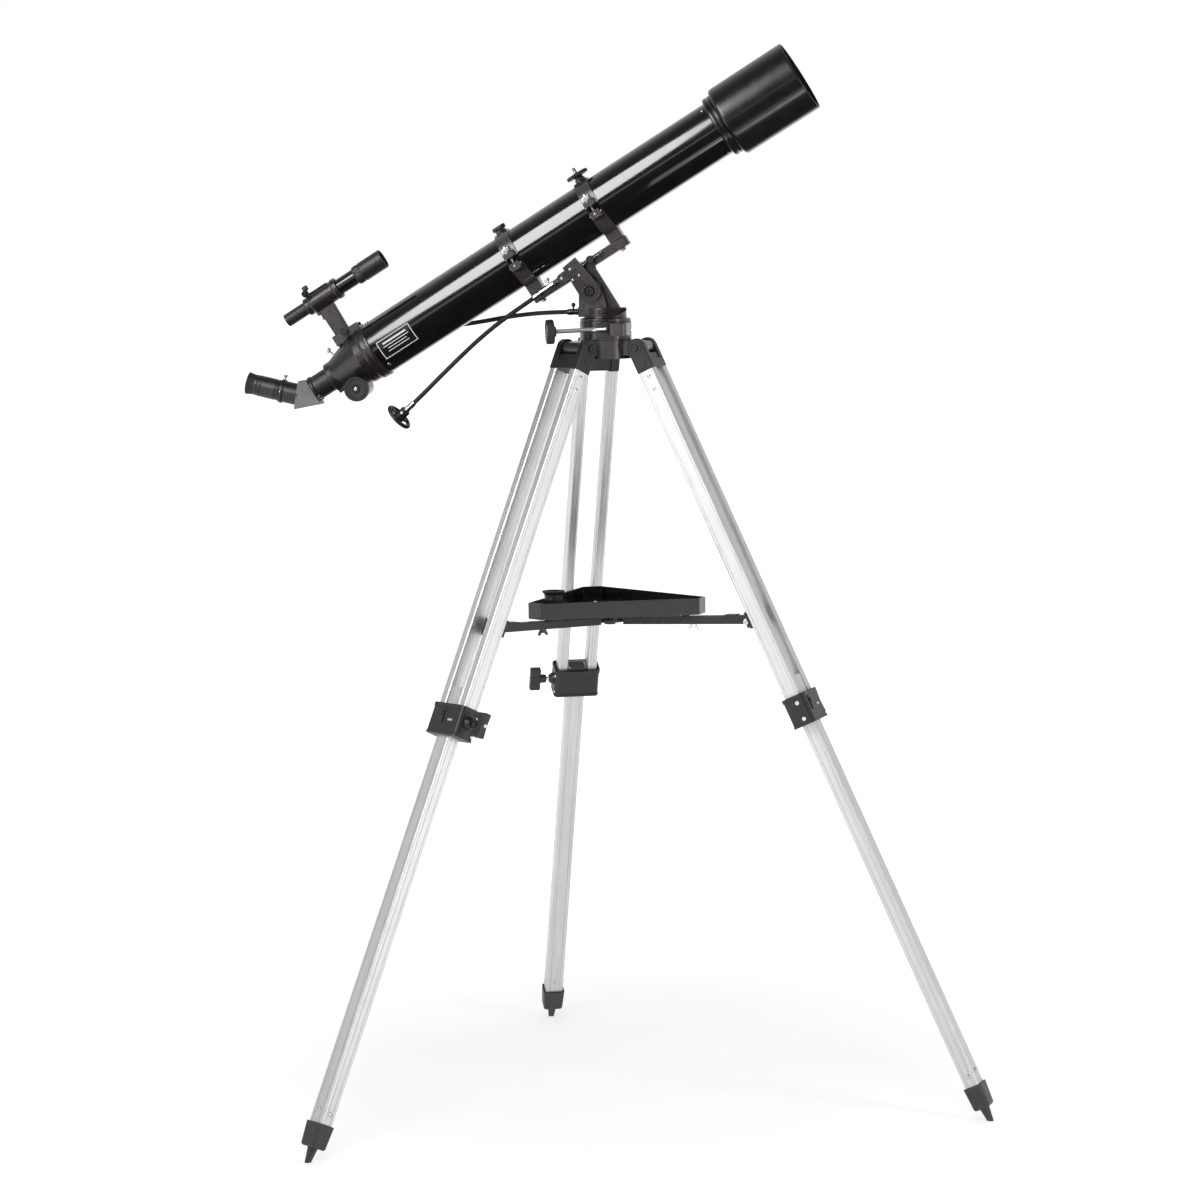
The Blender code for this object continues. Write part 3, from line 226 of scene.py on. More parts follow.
def block(x, y, z):
    """Make a box from three (low, high) pairs in mm."""
    return prism([(x[0], y[0]), (x[1], y[0]), (x[1], y[1]), (x[0], y[1])], z[0], z[1])


def rectangle(width, depth, radius, corner=5):
    """Return a centred rectangle with round corners."""
    points = []
    for k, (sx, sy) in enumerate(((1, 1), (-1, 1), (-1, -1), (1, -1))):
        cx, cy = sx * (width / 2 - radius), sy * (depth / 2 - radius)
        for j in range(corner + 1):
            turn = (k + j / corner) * PI / 2
            points.append((cx + radius * math.cos(turn), cy + radius * math.sin(turn)))
    return points


def circle(radius, centre=(0, 0), count=32):
    """Return points on a circle."""
    turns = [2 * PI * k / count for k in range(count)]
    return [(centre[0] + radius * math.cos(t), centre[1] + radius * math.sin(t)) for t in turns]


def hull(points):
    """Return the convex outline round some points."""
    return [points[i] for i in convex_hull_2d([Vector(p) for p in points])]


def moved(solid, matrix):
    """Return a solid in another place."""
    return [matrix @ Vector(v) for v in solid[0]], solid[1]


def along(solid):
    """Return a solid with its axis turned along X."""
    return moved(solid, ALONG_X)


def merged(*solids):
    """Return several solids as one."""
    verts = []
    faces = []
    for more, sides in solids:
        start = len(verts)
        verts += [Vector(v) for v in more]
        faces += [tuple(start + i for i in side) for side in sides]
    return verts, faces


def sweep(route, radius, segments):
    """Sweep a round section along points in mm."""
    verts = []
    side = Vector((0, 1, 0))
    for k, spot in enumerate(route):
        ahead = (route[min(k + 1, len(route) - 1)] - route[max(k - 1, 0)]).normalized()
        side = (side - ahead * side.dot(ahead)).normalized()
        up = ahead.cross(side)
        for j in range(segments):
            turn = 2 * PI * j / segments
            verts.append((spot + radius * (math.cos(turn) * side + math.sin(turn) * up)) * MM)
    faces = [tuple(range(segments))[::-1]]
    for k in range(len(route) - 1):
        for j in range(segments):
            n = (j + 1) % segments
            low, high = k * segments, (k + 1) * segments
            faces.append((low + j, low + n, high + n, high + j))
    faces.append(tuple(range((len(route) - 1) * segments, len(route) * segments)))
    return verts, faces


def smooth_route(points, steps):
    """Return even points on a smooth curve through the given ones."""
    spots = [Vector(p) for p in points]
    spots = [2 * spots[0] - spots[1]] + spots + [2 * spots[-1] - spots[-2]]
    fine = []
    for k in range(1, len(spots) - 2):
        a, b, c, d = spots[k - 1:k + 3]
        for j in range(24):
            t = j / 24
            fine.append(0.5 * (2 * b + (c - a) * t + (2 * a - 5 * b + 4 * c - d) * t * t
                               + (3 * b - a - 3 * c + d) * t ** 3))
    fine.append(spots[-2])
    lengths = [0.0]
    for a, b in zip(fine, fine[1:]):
        lengths.append(lengths[-1] + (b - a).length)
    even = []
    k = 0
    for j in range(steps + 1):
        want = lengths[-1] * j / steps
        while k < len(lengths) - 2 and lengths[k + 1] < want:
            k += 1
        part = (want - lengths[k]) / max(lengths[k + 1] - lengths[k], 1e-9)
        even.append(fine[k].lerp(fine[k + 1], min(part, 1.0)))
    return even


# ---------------------------------------------------------------- small hardware

def socket_edge(kind, size):
    """Return a recess outline: a cross or a hexagon, as a radius by angle."""
    def cross(turn):
        s, c = abs(math.sin(turn)), abs(math.cos(turn))
        long, thin = size, 0.3 * size
        return max(min(long / max(c, 1e-6), thin / max(s, 1e-6)),
                   min(long / max(s, 1e-6), thin / max(c, 1e-6)))

    def hexagon(turn):
        part = (turn + PI / 6) % (PI / 3) - PI / 6
        return size * 0.87 / math.cos(part)

    return cross if kind == "cross" else hexagon


def screw(radius, height, kind="cross"):
    """Make a domed or socket screw head that stands on its face."""
    edge = socket_edge(kind, (0.58 if kind == "cross" else 0.52) * radius)
    if kind == "cross":
        side = [(radius, 0), (radius, 0.3 * height), (0.93 * radius, 0.62 * height),
                (0.78 * radius, 0.88 * height), (0.62 * radius, height)]
    else:
        side = [(radius, 0), (radius, 0.8 * height), (0.93 * radius, height)]
    rows = [(0, -0.6), (0.9 * radius, -0.6)] + side
    rows += [(edge, height), (lambda t: 0.93 * edge(t), 0.45 * height), (0, 0.45 * height)]
    return lathe(rows, 40)


def threads(root, crest, start, step, count):
    """Return the rows of a screw thread."""
    return [(root if k % 2 else crest, start + step * k) for k in range(count)]


def hexagon_nut(across, height):
    """Make a hexagon nut with chamfered corners."""
    size = across / 2
    edge = socket_edge("hexagon", size / 0.87)
    rows = [(0, 0), (size * 0.96, 0), (edge, 0.18 * height), (edge, 0.82 * height),
            (size * 0.96, height), (0.5 * size, height), (0.46 * size, 0.7 * height), (0, 0.7 * height)]
    return lathe(rows, 48)


def ribbed(radius, count, depth):
    """Return a ribbed rim as a radius by angle."""
    return lambda turn: radius - depth * (0.5 - 0.5 * math.cos(count * turn)) ** 0.7


def thumb_screw(radius, height, shank, count):
    """Make a ribbed thumb screw with its shank below the face."""
    rim = ribbed(radius, count, 0.10 * radius)
    rows = [(0, -shank[1]), (shank[0], -shank[1]), (shank[0], 0), (0.75 * radius, 0),
            (rim, 0.12 * height), (rim, 0.88 * height), (0.86 * radius, height),
            (0.6 * radius, height), (0.5 * radius, 0.85 * height), (0, 0.85 * height)]
    return lathe(rows, 4 * count)


def lobed(radius, count, depth):
    """Return a lobed grip as a radius by angle."""
    return lambda turn: radius - depth * abs(math.sin(count * turn / 2)) ** 3


def wing_nut(span, height):
    """Make a wing nut."""
    hub = lathe([(0, 0), (0.3 * span, 0), (0.26 * span, 0.55 * height), (0.16 * span, 0.6 * height),
                 (0, 0.6 * height)], 24)
    wing = [(0.12 * span, 0.1 * height), (0.28 * span, 0.12 * height), (0.46 * span, 0.55 * height),
            (0.5 * span, 0.92 * height), (0.4 * span, height), (0.27 * span, 0.8 * height),
            (0.14 * span, 0.45 * height)]
    wings = []
    for side in (1, -1):
        outline = soften([(side * x, y) for x, y in wing][::side], 0.06 * span, 3, True)
        wings.append(moved(prism(outline, -0.07 * span, 0.07 * span), spin(90, "X")))
    return merged(hub, *wings)


# ---------------------------------------------------------------- materials

def fill(tree, node, inputs):
    """Set a node's inputs: a socket is linked, and anything else is a value."""
    for key, value in inputs.items():
        if isinstance(value, bpy.types.NodeSocket):
            tree.links.new(value, node.inputs[key])
        else:
            node.inputs[key].default_value = value
    return node


def added(tree, kind, inputs, operation=None):
    """Add a shader node with its inputs set, and its operation where it has one."""
    node = tree.nodes.new("ShaderNode" + kind)
    if operation:
        node.operation = operation
    return fill(tree, node, inputs)


class Paint:
    """One procedural material and its node tree."""

    def __init__(self, name, metallic=0.0, coat=0.0, specular=0.5, coat_roughness=0.03):
        self.made = bpy.data.materials.new(name)
        self.made.use_nodes = True
        self.tree = self.made.node_tree
        self.shader = self.tree.nodes["Principled BSDF"]
        self.use({"Metallic": metallic, "Coat Weight": coat, "Coat Roughness": coat_roughness,
                  "Specular IOR Level": specular})
        self.coords = self.node("TexCoord", {}).outputs["Object"]
        self.normal = None

    def node(self, kind, inputs):
        """Add a node with its inputs set."""
        return added(self.tree, kind, inputs)

    def use(self, inputs):
        """Set inputs of the shader."""
        fill(self.tree, self.shader, inputs)

    def stretched(self, scale):
        """Return coordinates scaled by axis."""
        return self.node("Mapping", {"Scale": scale, "Vector": self.coords}).outputs["Vector"]

    def noise(self, scale, detail=4.0, stretch=(1, 1, 1)):
        """Return a noise factor."""
        return self.node("TexNoise", {"Scale": scale, "Detail": detail, "Roughness": 0.55,
                                      "Vector": self.stretched(stretch)}).outputs["Fac"]

    def cells(self, scale, smooth):
        """Return the distance pattern of rounded cells."""
        node = self.node("TexVoronoi", {})
        node.feature = "SMOOTH_F1"
        fill(self.tree, node, {"Scale": scale, "Smoothness": smooth, "Vector": self.stretched((1, 1, 1))})
        return node.outputs["Distance"]

    def remap(self, factor, low, high, out_low=0.0, out_high=1.0):
        """Return a factor stretched from one range to another."""
        return self.node("MapRange", {"Value": factor, "From Min": low, "From Max": high,
                                      "To Min": out_low, "To Max": out_high}).outputs["Result"]

    def blend(self, factor, first, second):
        """Return a colour between two, by a factor."""
        node = self.node("Mix", {})
        node.data_type = "RGBA"
        inputs = {"Factor": factor}
        for name, value in (("A", first), ("B", second)):
            index = next(k for k, i in enumerate(node.inputs) if i.name == name and i.type == "RGBA")
            inputs[index] = (*value, 1.0) if isinstance(value, tuple) else value
        fill(self.tree, node, inputs)
        return next(o for o in node.outputs if o.type == "RGBA")

    def colour(self, value):
        """Use a colour output as the base colour."""
        self.use({"Base Color": value})

    def roughness(self, factor, low, high):
        """Use the middle of a factor's range as the roughness."""
        self.use({"Roughness": self.remap(factor, 0.3, 0.7, low, high)})

    def bump(self, factor, strength, distance):
        """Add a layer of bump, with its distance in millimetres."""
        node = self.node("Bump", {"Strength": strength, "Distance": distance * MM, "Height": factor})
        if self.normal is not None:
            fill(self.tree, node, {"Normal": self.normal})
        self.normal = node.outputs["Normal"]
        self.use({"Normal": self.normal})

    def worn(self, base, light, amount):
        """Return a colour that lightens on the piece's edges."""
        edge = self.node("NewGeometry", {}).outputs["Pointiness"]
        return self.blend(self.remap(edge, 0.51, 0.60, 0.0, amount), base, light)


def moulded(name, dark, light, rough, grain=1500.0, coat=0.0, specular=0.5, wear=0.25, grit=0.12):
    """Moulded plastic: fine grain, faint tone changes and lighter edges."""
    paint = Paint(name, coat=coat, specular=specular)
    tone = paint.blend(paint.remap(paint.noise(45, 5), 0.35, 0.65), dark, light)
    edge = tuple(min(1.0, 2.4 * v + 0.01) for v in light)
    paint.colour(paint.worn(tone, edge, wear))
    paint.roughness(paint.noise(110, 4), *rough)
    paint.bump(paint.noise(grain, 3), grit, 0.05)
    return paint.made


def metal(name, dark, light, rough, strength=0.08):
    """Bare metal: fine marks and smudges."""
    paint = Paint(name, metallic=1.0)
    lines = paint.noise(420.0, 3)
    tone = paint.blend(paint.remap(lines, 0.3, 0.7), dark, light)
    smudge = paint.noise(26, 5)
    paint.colour(paint.blend(paint.remap(smudge, 0.40, 0.75, 0.0, 0.35), tone, dark))
    paint.roughness(smudge, *rough)
    paint.bump(lines, strength, 0.03)
    return paint.made


def enamel():
    """Gloss black enamel with a faint orange peel and a little dust."""
    paint = Paint("tube_enamel", coat=0.4, specular=0.5, coat_roughness=0.04)
    dust = paint.noise(900, 2)
    tone = paint.blend(paint.remap(paint.noise(14, 4), 0.35, 0.65), (0.0030, 0.0030, 0.0034),
                       (0.0055, 0.0052, 0.0052))
    paint.colour(paint.blend(paint.remap(dust, 0.72, 0.80, 0.0, 0.15), tone, (0.03, 0.03, 0.03)))
    paint.roughness(paint.noise(32, 4), 0.11, 0.16)
    paint.bump(paint.noise(60, 2), 0.004, 0.05)
    return paint.made


def hammered():
    """Dark brown-grey hammered paint on castings."""
    paint = Paint("hammered_paint", metallic=0.1, coat=0.45, coat_roughness=0.18, specular=0.4)
    cells = paint.cells(520, 0.4)
    tone = paint.blend(paint.remap(cells, 0.15, 0.62), (0.026, 0.0185, 0.0155), (0.0080, 0.0056, 0.0050))
    tone = paint.blend(paint.remap(paint.noise(38, 4), 0.38, 0.66, 0.0, 0.45), tone,
                       (0.011, 0.0078, 0.0068))
    flecks = paint.remap(paint.noise(1100, 2), 0.62, 0.72, 0.0, 0.5)
    tone = paint.blend(flecks, tone, (0.10, 0.085, 0.080))
    paint.colour(paint.worn(tone, (0.13, 0.115, 0.11), 0.40))
    paint.roughness(paint.noise(150, 3), 0.24, 0.40)
    paint.bump(cells, 0.50, 0.40)
    paint.bump(paint.noise(700, 3), 0.20, 0.10)
    return paint.made


def aluminium():
    """Satin anodised extrusion with fine lines along its length."""
    paint = Paint("satin_aluminium", metallic=1.0)
    lines = paint.noise(900, 3, (1, 1, 0.012))
    cloud = paint.noise(9, 4)
    tone = paint.blend(paint.remap(lines, 0.3, 0.7), (0.58, 0.58, 0.585), (0.71, 0.71, 0.71))
    tone = paint.blend(paint.remap(cloud, 0.4, 0.7, 0.0, 0.30), tone, (0.54, 0.54, 0.55))
    paint.colour(tone)
    paint.roughness(paint.noise(60, 4, (1, 1, 0.2)), 0.40, 0.50)
    paint.bump(lines, 0.08, 0.03)
    paint.bump(paint.noise(2600, 2), 0.05, 0.02)
    return paint.made


def rubber(name, dark, light):
    """Soft matt rubber with a dusty bloom."""
    paint = Paint(name, specular=0.35)
    tone = paint.blend(paint.remap(paint.noise(60, 5), 0.35, 0.7), dark, light)
    paint.colour(paint.worn(tone, (0.06, 0.06, 0.06), 0.3))
    paint.roughness(paint.noise(220, 3), 0.52, 0.72)
    paint.bump(paint.noise(1800, 3), 0.25, 0.06)
    return paint.made


def coated_glass():
    """Dark coated glass: blue-green body, with a violet reflection painted into the colour towards grazing
    angles.
    """
    paint = Paint("coated_glass", coat=1.0, specular=0.7, coat_roughness=0.01)
    painted_reflection_facing = paint.node("LayerWeight", {"Blend": 0.35}).outputs["Facing"]
    # Painted reflection: the colour turns violet where the glass is seen edge-on.
    tone = paint.blend(painted_reflection_facing, (0.006, 0.016, 0.020), (0.030, 0.020, 0.060))
    paint.colour(paint.blend(paint.remap(paint.noise(500, 3), 0.68, 0.80, 0.0, 0.20), tone,
                             (0.08, 0.08, 0.09)))
    paint.roughness(paint.noise(70, 3), 0.02, 0.05)
    return paint.made


def ink():
    """Off-white printed ink, a little uneven."""
    paint = Paint("printed_ink")
    tone = paint.blend(paint.remap(paint.noise(800, 4), 0.35, 0.7), (0.78, 0.78, 0.77), (0.60, 0.60, 0.60))
    paint.colour(tone)
    paint.roughness(paint.noise(200, 3), 0.35, 0.5)
    return paint.made


ENAMEL = enamel()
HAMMERED = hammered()
ALUMINIUM = aluminium()
GLASS = coated_glass()
INK = ink()
SHIELD = moulded("shield_plastic", (0.0055, 0.0057, 0.0060), (0.0095, 0.0095, 0.0100), (0.20, 0.27), 1500.0,
                 coat=0.1, specular=0.4, wear=0.15, grit=0.05)
GREY_PLASTIC = moulded("grey_plastic", (0.0055, 0.0058, 0.0064), (0.0098, 0.0101, 0.0110), (0.36, 0.50),
                       specular=0.4)
KNOB_PLASTIC = moulded("knob_plastic", (0.018, 0.019, 0.021), (0.030, 0.031, 0.034), (0.32, 0.46))
FOOT_PLASTIC = moulded("foot_plastic", (0.020, 0.0195, 0.020), (0.032, 0.031, 0.032), (0.40, 0.55))
BLACK_PLASTIC = moulded("black_plastic", (0.005, 0.005, 0.0055), (0.0095, 0.0093, 0.0097), (0.36, 0.50))
TRAY_PAINT = moulded("tray_paint", (0.0032, 0.0032, 0.0035), (0.0065, 0.0060, 0.0060), (0.24, 0.34), 2200.0,
                     coat=0.15, wear=0.35)
ANODISED = moulded("black_anodised", (0.0065, 0.0065, 0.0072), (0.0115, 0.0113, 0.0120), (0.34, 0.46),
                   2600.0, grit=0.03)
MATT_BLACK = moulded("matt_black", (0.004, 0.004, 0.004), (0.008, 0.008, 0.008), (0.75, 0.90),
                     specular=0.2, wear=0.0)
LABEL = moulded("label_film", (0.006, 0.006, 0.007), (0.010, 0.010, 0.010), (0.22, 0.32), wear=0.0)
HOUSING_GREY = moulded("housing_grey", (0.105, 0.104, 0.104), (0.150, 0.148, 0.147), (0.34, 0.48), 900.0,
                       wear=0.4)
RUBBER = rubber("black_rubber", (0.010, 0.010, 0.010), (0.020, 0.019, 0.019))
CABLE = rubber("cable_sheath", (0.008, 0.008, 0.008), (0.016, 0.016, 0.016))
STEEL = metal("plated_steel", (0.58, 0.58, 0.60), (0.76, 0.76, 0.77), (0.16, 0.30))
CHROME = metal("chrome_plate", (0.70, 0.70, 0.71), (0.84, 0.84, 0.85), (0.06, 0.14), strength=0.03)
BRASS = metal("turned_brass", (0.50, 0.34, 0.13), (0.68, 0.50, 0.24), (0.20, 0.34))
SATIN_STEEL = metal("satin_steel", (0.74, 0.74, 0.75), (0.88, 0.88, 0.88), (0.38, 0.52))
DARK_STEEL = metal("blackened_steel", (0.035, 0.034, 0.036), (0.07, 0.068, 0.068), (0.28, 0.42))


# ---------------------------------------------------------------- pieces

def placed(name, data):
    """Return a new object in the scene."""
    made = bpy.data.objects.new(name, data)
    bpy.context.scene.collection.objects.link(made)
    return made


def shape(name, solid, paint):
    """Return a new mesh object with one material."""
    mesh = bpy.data.meshes.new(name)
    mesh.from_pydata([tuple(v) for v in solid[0]], [], solid[1])
    mesh.materials.append(paint)
    return placed(name, mesh)


def dress(made, crisp):
    """Point the faces outwards and smooth everything but the crisp edges."""
    work = bmesh.new()
    work.from_mesh(made.data)
    bmesh.ops.recalc_face_normals(work, faces=work.faces)
    for face in work.faces:
        face.smooth = True
    for edge in work.edges:
        edge.smooth = edge.calc_face_angle(0) < math.radians(crisp)
    work.to_mesh(made.data)
    work.free()


def rounding(made, width):
    """Round the sharp edges and keep flat faces looking flat."""
    if width:
        step = made.modifiers.new("edges", "BEVEL")
        step.width = width * MM
        step.segments = 2
        step.limit_method = "ANGLE"
        step.angle_limit = math.radians(BEVEL_ANGLE)
        step.use_clamp_overlap = True
    step = made.modifiers.new("shading", "WEIGHTED_NORMAL")
    step.keep_sharp = True


def piece(name, solid, body, paint, place=None, bevel=0.0, crisp=CRISP_ANGLE, replaces=()):
    """Make a solid into a piece that rides on a body."""
    made = shape(name, solid, paint)
    dress(made, crisp)
    rounding(made, bevel)
    if place is not None:
        made.matrix_world = place
    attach(made, body)
    if replaces:
        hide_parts(*([replaces] if isinstance(replaces, str) else replaces))
    return made


def refined(node, body, paint, place, bevel=0.7):
    """Copy a CAD node with rounded edges, in the frame that it was made in."""
    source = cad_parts[node]
    mesh = source.data.copy()
    mesh.name = node + "_finish"
    made = placed(mesh.name, mesh)
    work = bmesh.new()
    work.from_mesh(mesh)
    bmesh.ops.transform(work, matrix=place.inverted(), verts=work.verts)
    bmesh.ops.remove_doubles(work, verts=work.verts, dist=2e-6)
    bmesh.ops.dissolve_limit(work, angle_limit=math.radians(0.6), verts=work.verts, edges=work.edges)
    work.to_mesh(mesh)
    work.free()
    mesh.materials.clear()
    mesh.materials.append(paint)
    dress(made, CRISP_ANGLE)
    rounding(made, bevel)
    made.matrix_world = place
    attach(made, body)
    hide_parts(node)


def set_of(name, items, body, paint, place):
    """Make many small solids, each with its own placement, into one piece."""
    return piece(name, merged(*[moved(solid, spot) for solid, spot in items]), body, paint, place)


# ---------------------------------------------------------------- camera, stage and light

def camera():
    """Camera at the photographed angle, level with the mount and a little above."""
    yaw, pitch, roll = -0.0026, -0.1040, -0.0149
    ahead = Vector((math.sin(yaw) * math.cos(pitch), math.cos(yaw) * math.cos(pitch), math.sin(pitch)))
    right = Vector((math.cos(yaw), -math.sin(yaw), 0))
    up = right.cross(ahead)
    right = right * math.cos(roll) + up * math.sin(roll)
    up = right.cross(ahead)
    data = bpy.data.cameras.new("camera")
    data.sensor_width = 36
    data.lens = 112.272
    data.clip_end = 120
    made = placed("camera", data)
    turn = Matrix((right, up, -ahead)).transposed().to_4x4()
    made.matrix_world = shift(*CAMERA_SPOT) @ turn
    bpy.context.scene.camera = made


def softbox(name, place, target, width, height, radiance, heading=None, form="RECTANGLE"):
    """Area light that faces a point; its width runs along the heading."""
    data = bpy.data.lights.new(name, "AREA")
    data.shape = form
    data.size = width
    data.size_y = height
    data.energy = radiance * PI * width * height
    made = placed(name, data)
    back = (Vector(place) - Vector(target)).normalized()
    across = Vector(heading) if heading is not None else Vector((0, 0, 1)).cross(back)
    across = (across - back * across.dot(back)).normalized()
    turn = Matrix((across, back.cross(across), back)).transposed().to_4x4()
    made.matrix_world = Matrix.Translation(Vector(place)) @ turn
    made.visible_camera = False
    return made


def card(name, corners, level):
    """Dark studio card that only reflections see, and only from above; it paints dark reflections on the
    parts above it.
    """
    paint = Paint(name)
    tone = paint.blend(paint.noise(3, 2), (level,) * 3, (1.2 * level,) * 3)
    paint.use({"Base Color": tone, "Roughness": 1.0})
    behind = paint.node("NewGeometry", {}).outputs["Backfacing"]
    clear = paint.node("BsdfTransparent", {}).outputs[0]
    pick = paint.node("MixShader", {0: behind, 1: paint.shader.outputs[0], 2: clear})
    fill(paint.tree, paint.tree.nodes["Material Output"], {"Surface": pick.outputs[0]})
    made = shape(name, (corners, [(0, 1, 2, 3)]), paint.made)
    made.visible_camera = False
    made.visible_diffuse = False
    made.visible_shadow = False
    made.visible_transmission = False


def stage():
    """Pale floor with a painted glow that is weaker near the middle, white surroundings, softboxes, side
    fills and the dark cards under the tube, which paint dark reflections.
    """
    paint = Paint("pale_floor_painted_glow", specular=0.1)
    paint.colour(paint.blend(paint.noise(2.5, 3), (0.86, 0.86, 0.86), (0.89, 0.89, 0.89)))
    reach = added(paint.tree, "VectorMath", {0: paint.coords}, "LENGTH").outputs["Value"]
    # Painted light: the floor glows, dimmer near the middle and brighter farther out.
    paint.use({"Roughness": 0.9, "Emission Color": (1, 1, 1, 1),
               "Emission Strength": paint.remap(reach, 0.4, 2.4, 0.46, 0.90)})
    plane = lathe([(0, 0), (400, 0), (1200, 0), (4000, 0), (60000, 0)], 96)
    floor = shape("floor", plane, paint.made)

    studio()
    centre = OTA @ Vector((0, 0, 0))
    axis = (OTA.to_3x3() @ Vector(FRONT)).normalized()
    view = Vector(CAMERA_SPOT) * MM - centre
    view = (view - axis * view.dot(axis)).normalized()
    rise = axis.cross(view)
    rise = rise if rise.z > 0 else -rise
    # name, angle round the tube, distance, slide along it, aim point, width, height, radiance, shape
    for name, angle, distance, slide, aim, width, height, radiance, form in (
            ("long_softbox", 43, 2.7, -0.40, 0.0, 1.0, 2.2, 10.0, "ELLIPSE"),
            ("low_strip", -47, 2.2, 0.22, 0.3, 0.75, 0.2, 8.0, "RECTANGLE")):
        turn = math.radians(angle)
        spot = centre + (view * math.cos(turn) + rise * math.sin(turn)) * distance + axis * slide
        strip = softbox(name, spot, centre + axis * aim, width, height, radiance, axis, form)
        strip.visible_diffuse = False
    middle = (0, 0, 0.9)
    key = softbox("key", (-0.6, -4.4, 4.4), middle, 3.2, 2.2, 3.4)
    key.visible_glossy = False
    softbox("left_strip", (-3.3, -2.7, 1.25), middle, 0.8, 2.3, 3.0)
    softbox("right_strip", (3.2, -2.3, 1.25), middle, 0.8, 2.3, 5.5)
    # Painted reflections: these cards darken what the tube's underside reflects.
    for name, x0, x1, y0, y1 in (("rear", -0.65, 0.15, -2.6, 0.14), ("near", 0.15, 0.56, -2.6, -0.231),
                                 ("far", 0.15, 0.56, -0.144, 0.14)):
        corners = ((x0, y0), (x1, y0), (x1, y1), (x0, y1))
        card("dark_reflection_card_" + name, [OTA @ Vector((x, y, CARD_HEIGHT)) for x, y in corners], 0.02)
    bpy.context.scene.view_settings.view_transform = "Standard"


def studio():
    """White surroundings, darker on the camera's side for everything but the camera."""
    world = bpy.data.worlds.new("studio")
    bpy.context.scene.world = world
    world.use_nodes = True
    tree = world.node_tree
    split = added(tree, "SeparateXYZ", {0: added(tree, "TexCoord", {}).outputs["Generated"]}).outputs
    above = added(tree, "Math", {0: split["Z"], 1: 0.45}, "MAXIMUM").outputs[0]
    back = added(tree, "Math", {0: above, 1: -1.6, 2: split["Y"]}, "MULTIPLY_ADD").outputs[0]
    level = added(tree, "MapRange", {"Value": back, "From Min": -1.47, "From Max": -0.17,
                                     "To Min": 0.16, "To Max": 0.86})
    level.interpolation_type = "SMOOTHSTEP"
    seen = added(tree, "LightPath", {}).outputs["Is Camera Ray"]
    pick = added(tree, "Math", {0: seen, 1: level.outputs["Result"]}, "MAXIMUM").outputs[0]
    fill(tree, tree.nodes["Background"], {"Color": (1, 1, 1, 1), "Strength": pick})


# ---------------------------------------------------------------- tripod

def rail_outline(depth, width, corner, groove):
    """Outline of an extrusion with shallow grooves near its edges."""
    outline = rectangle(depth, width, corner, 4)
    grooved = []
    count = len(outline)
    for k, point in enumerate(outline):
        grooved.append(point)
        nxt = outline[(k + 1) % count]
        here, ahead = Vector(point), Vector(nxt)
        span = (ahead - here).length
        if span < 6:
            continue
        course = (ahead - here).normalized()
        inward = Vector((-course.y, course.x))
        for start in (groove, span - groove - 1.0):
            a = here + course * start
            grooved += [tuple(a), tuple(a + course * 0.25 + inward * 0.7),
                        tuple(a + course * 0.75 + inward * 0.7), tuple(a + course)]
    return grooved


def offset(outline, amount):
    """Return an outline moved towards its middle."""
    return [(x * (1 - amount / max(abs(x), amount, 6.0)), y * (1 - amount / max(abs(y), amount, 6.0)))
            for x, y in outline]


def tripod_legs():
    """Rails, clamps, lower legs, feet, yokes and their hardware."""
    rail = rail_outline(28, 17, 3.4, 2.2)
    lower = rail_outline(24, 30.4, 2.8, 3.6)
    for n in "abc":
        leg = LEG[n]
        body = "lower_leg_" + n
        refined("leg_yoke_" + n, "tripod", GREY_PLASTIC, leg, 1.3)
        for k, side in (("1", 1), ("2", -1)):
            extrusion = pipe(rail, offset(rail, RAIL_WALL), *RAIL_ENDS)
            piece(f"rail_{n}{k}", extrusion, "tripod", ALUMINIUM, leg @ shift(0, side * RAIL_SIDE, 0),
                  crisp=30, replaces=f"leg_rail_{n}{k}")
        top = LOWER_TOPS[n]
        extrusion = pipe(lower, offset(lower, RAIL_WALL), LOWER_END, top)
        piece("lower_leg_profile_" + n, extrusion, body, ALUMINIUM, leg, crisp=30,
              replaces="lower_leg_" + n)
        cap = prism(rectangle(20.4, 26.8, 2), top - 4, top - 0.4)
        piece("lower_leg_plug_" + n, cap, body, BLACK_PLASTIC, leg, 0.6)
        foot(n, leg)
        clamp(n, leg)
        items = []
        for side in (1, -1):
            items += [(screw(3.4, 1.8), facing((0.6, side * 33.1, z), (0, side, 0))) for z in (-50, -72)]
        set_of("rail_screws_" + n, items, "tripod", STEEL, leg)
        bolts = []
        for side in (1, -1):
            bolts.append((screw(5.2, 3.0, "hexagon"), facing((-1.5, side * YOKE_SIDE, 0), (0, side, 0))))
        set_of("hinge_bolts_" + n, bolts, "tripod", DARK_STEEL, leg)
        rim = ring([(8.4, -0.4), (9.8, -0.4), (9.8, 0.7), (8.4, 0.7)], 0.4, 48)
        dome = turned([(0, -0.4), (5.6, -0.4), (5.6, 0.6), (0, 1.0)], 0.4, 48)
        marks = []
        for side in (1, -1):
            marks.append((rim, facing((0.5, side * YOKE_SIDE, -1), (0, side, 0))))
            marks.append((dome, facing((1.0, side * YOKE_SIDE, -28), (0, side, 0))))
        set_of("yoke_bosses_" + n, marks, "tripod", GREY_PLASTIC, leg)
        bridge = block((-12.5, 12.5), (-19.6, 19.6), (-39.8, -14.4))
        piece("yoke_bridge_" + n, bridge, "tripod", GREY_PLASTIC, leg, 1.2)
        ends = []
        for side in (1, -1):
            ends.append((screw(3.8, 2.4), facing((0, side * 15.2, -1266), (0, side, 0))))
            ends.append((screw(3.8, 2.4), facing((side * 12, 0, -1262), (side, 0, 0))))
        if n != "c":
            ends.append((screw(3.4, 1.6), facing((-12, 0, -596), REAR)))
        set_of("lower_screws_" + n, ends, body, STEEL, leg)
        arm(n)


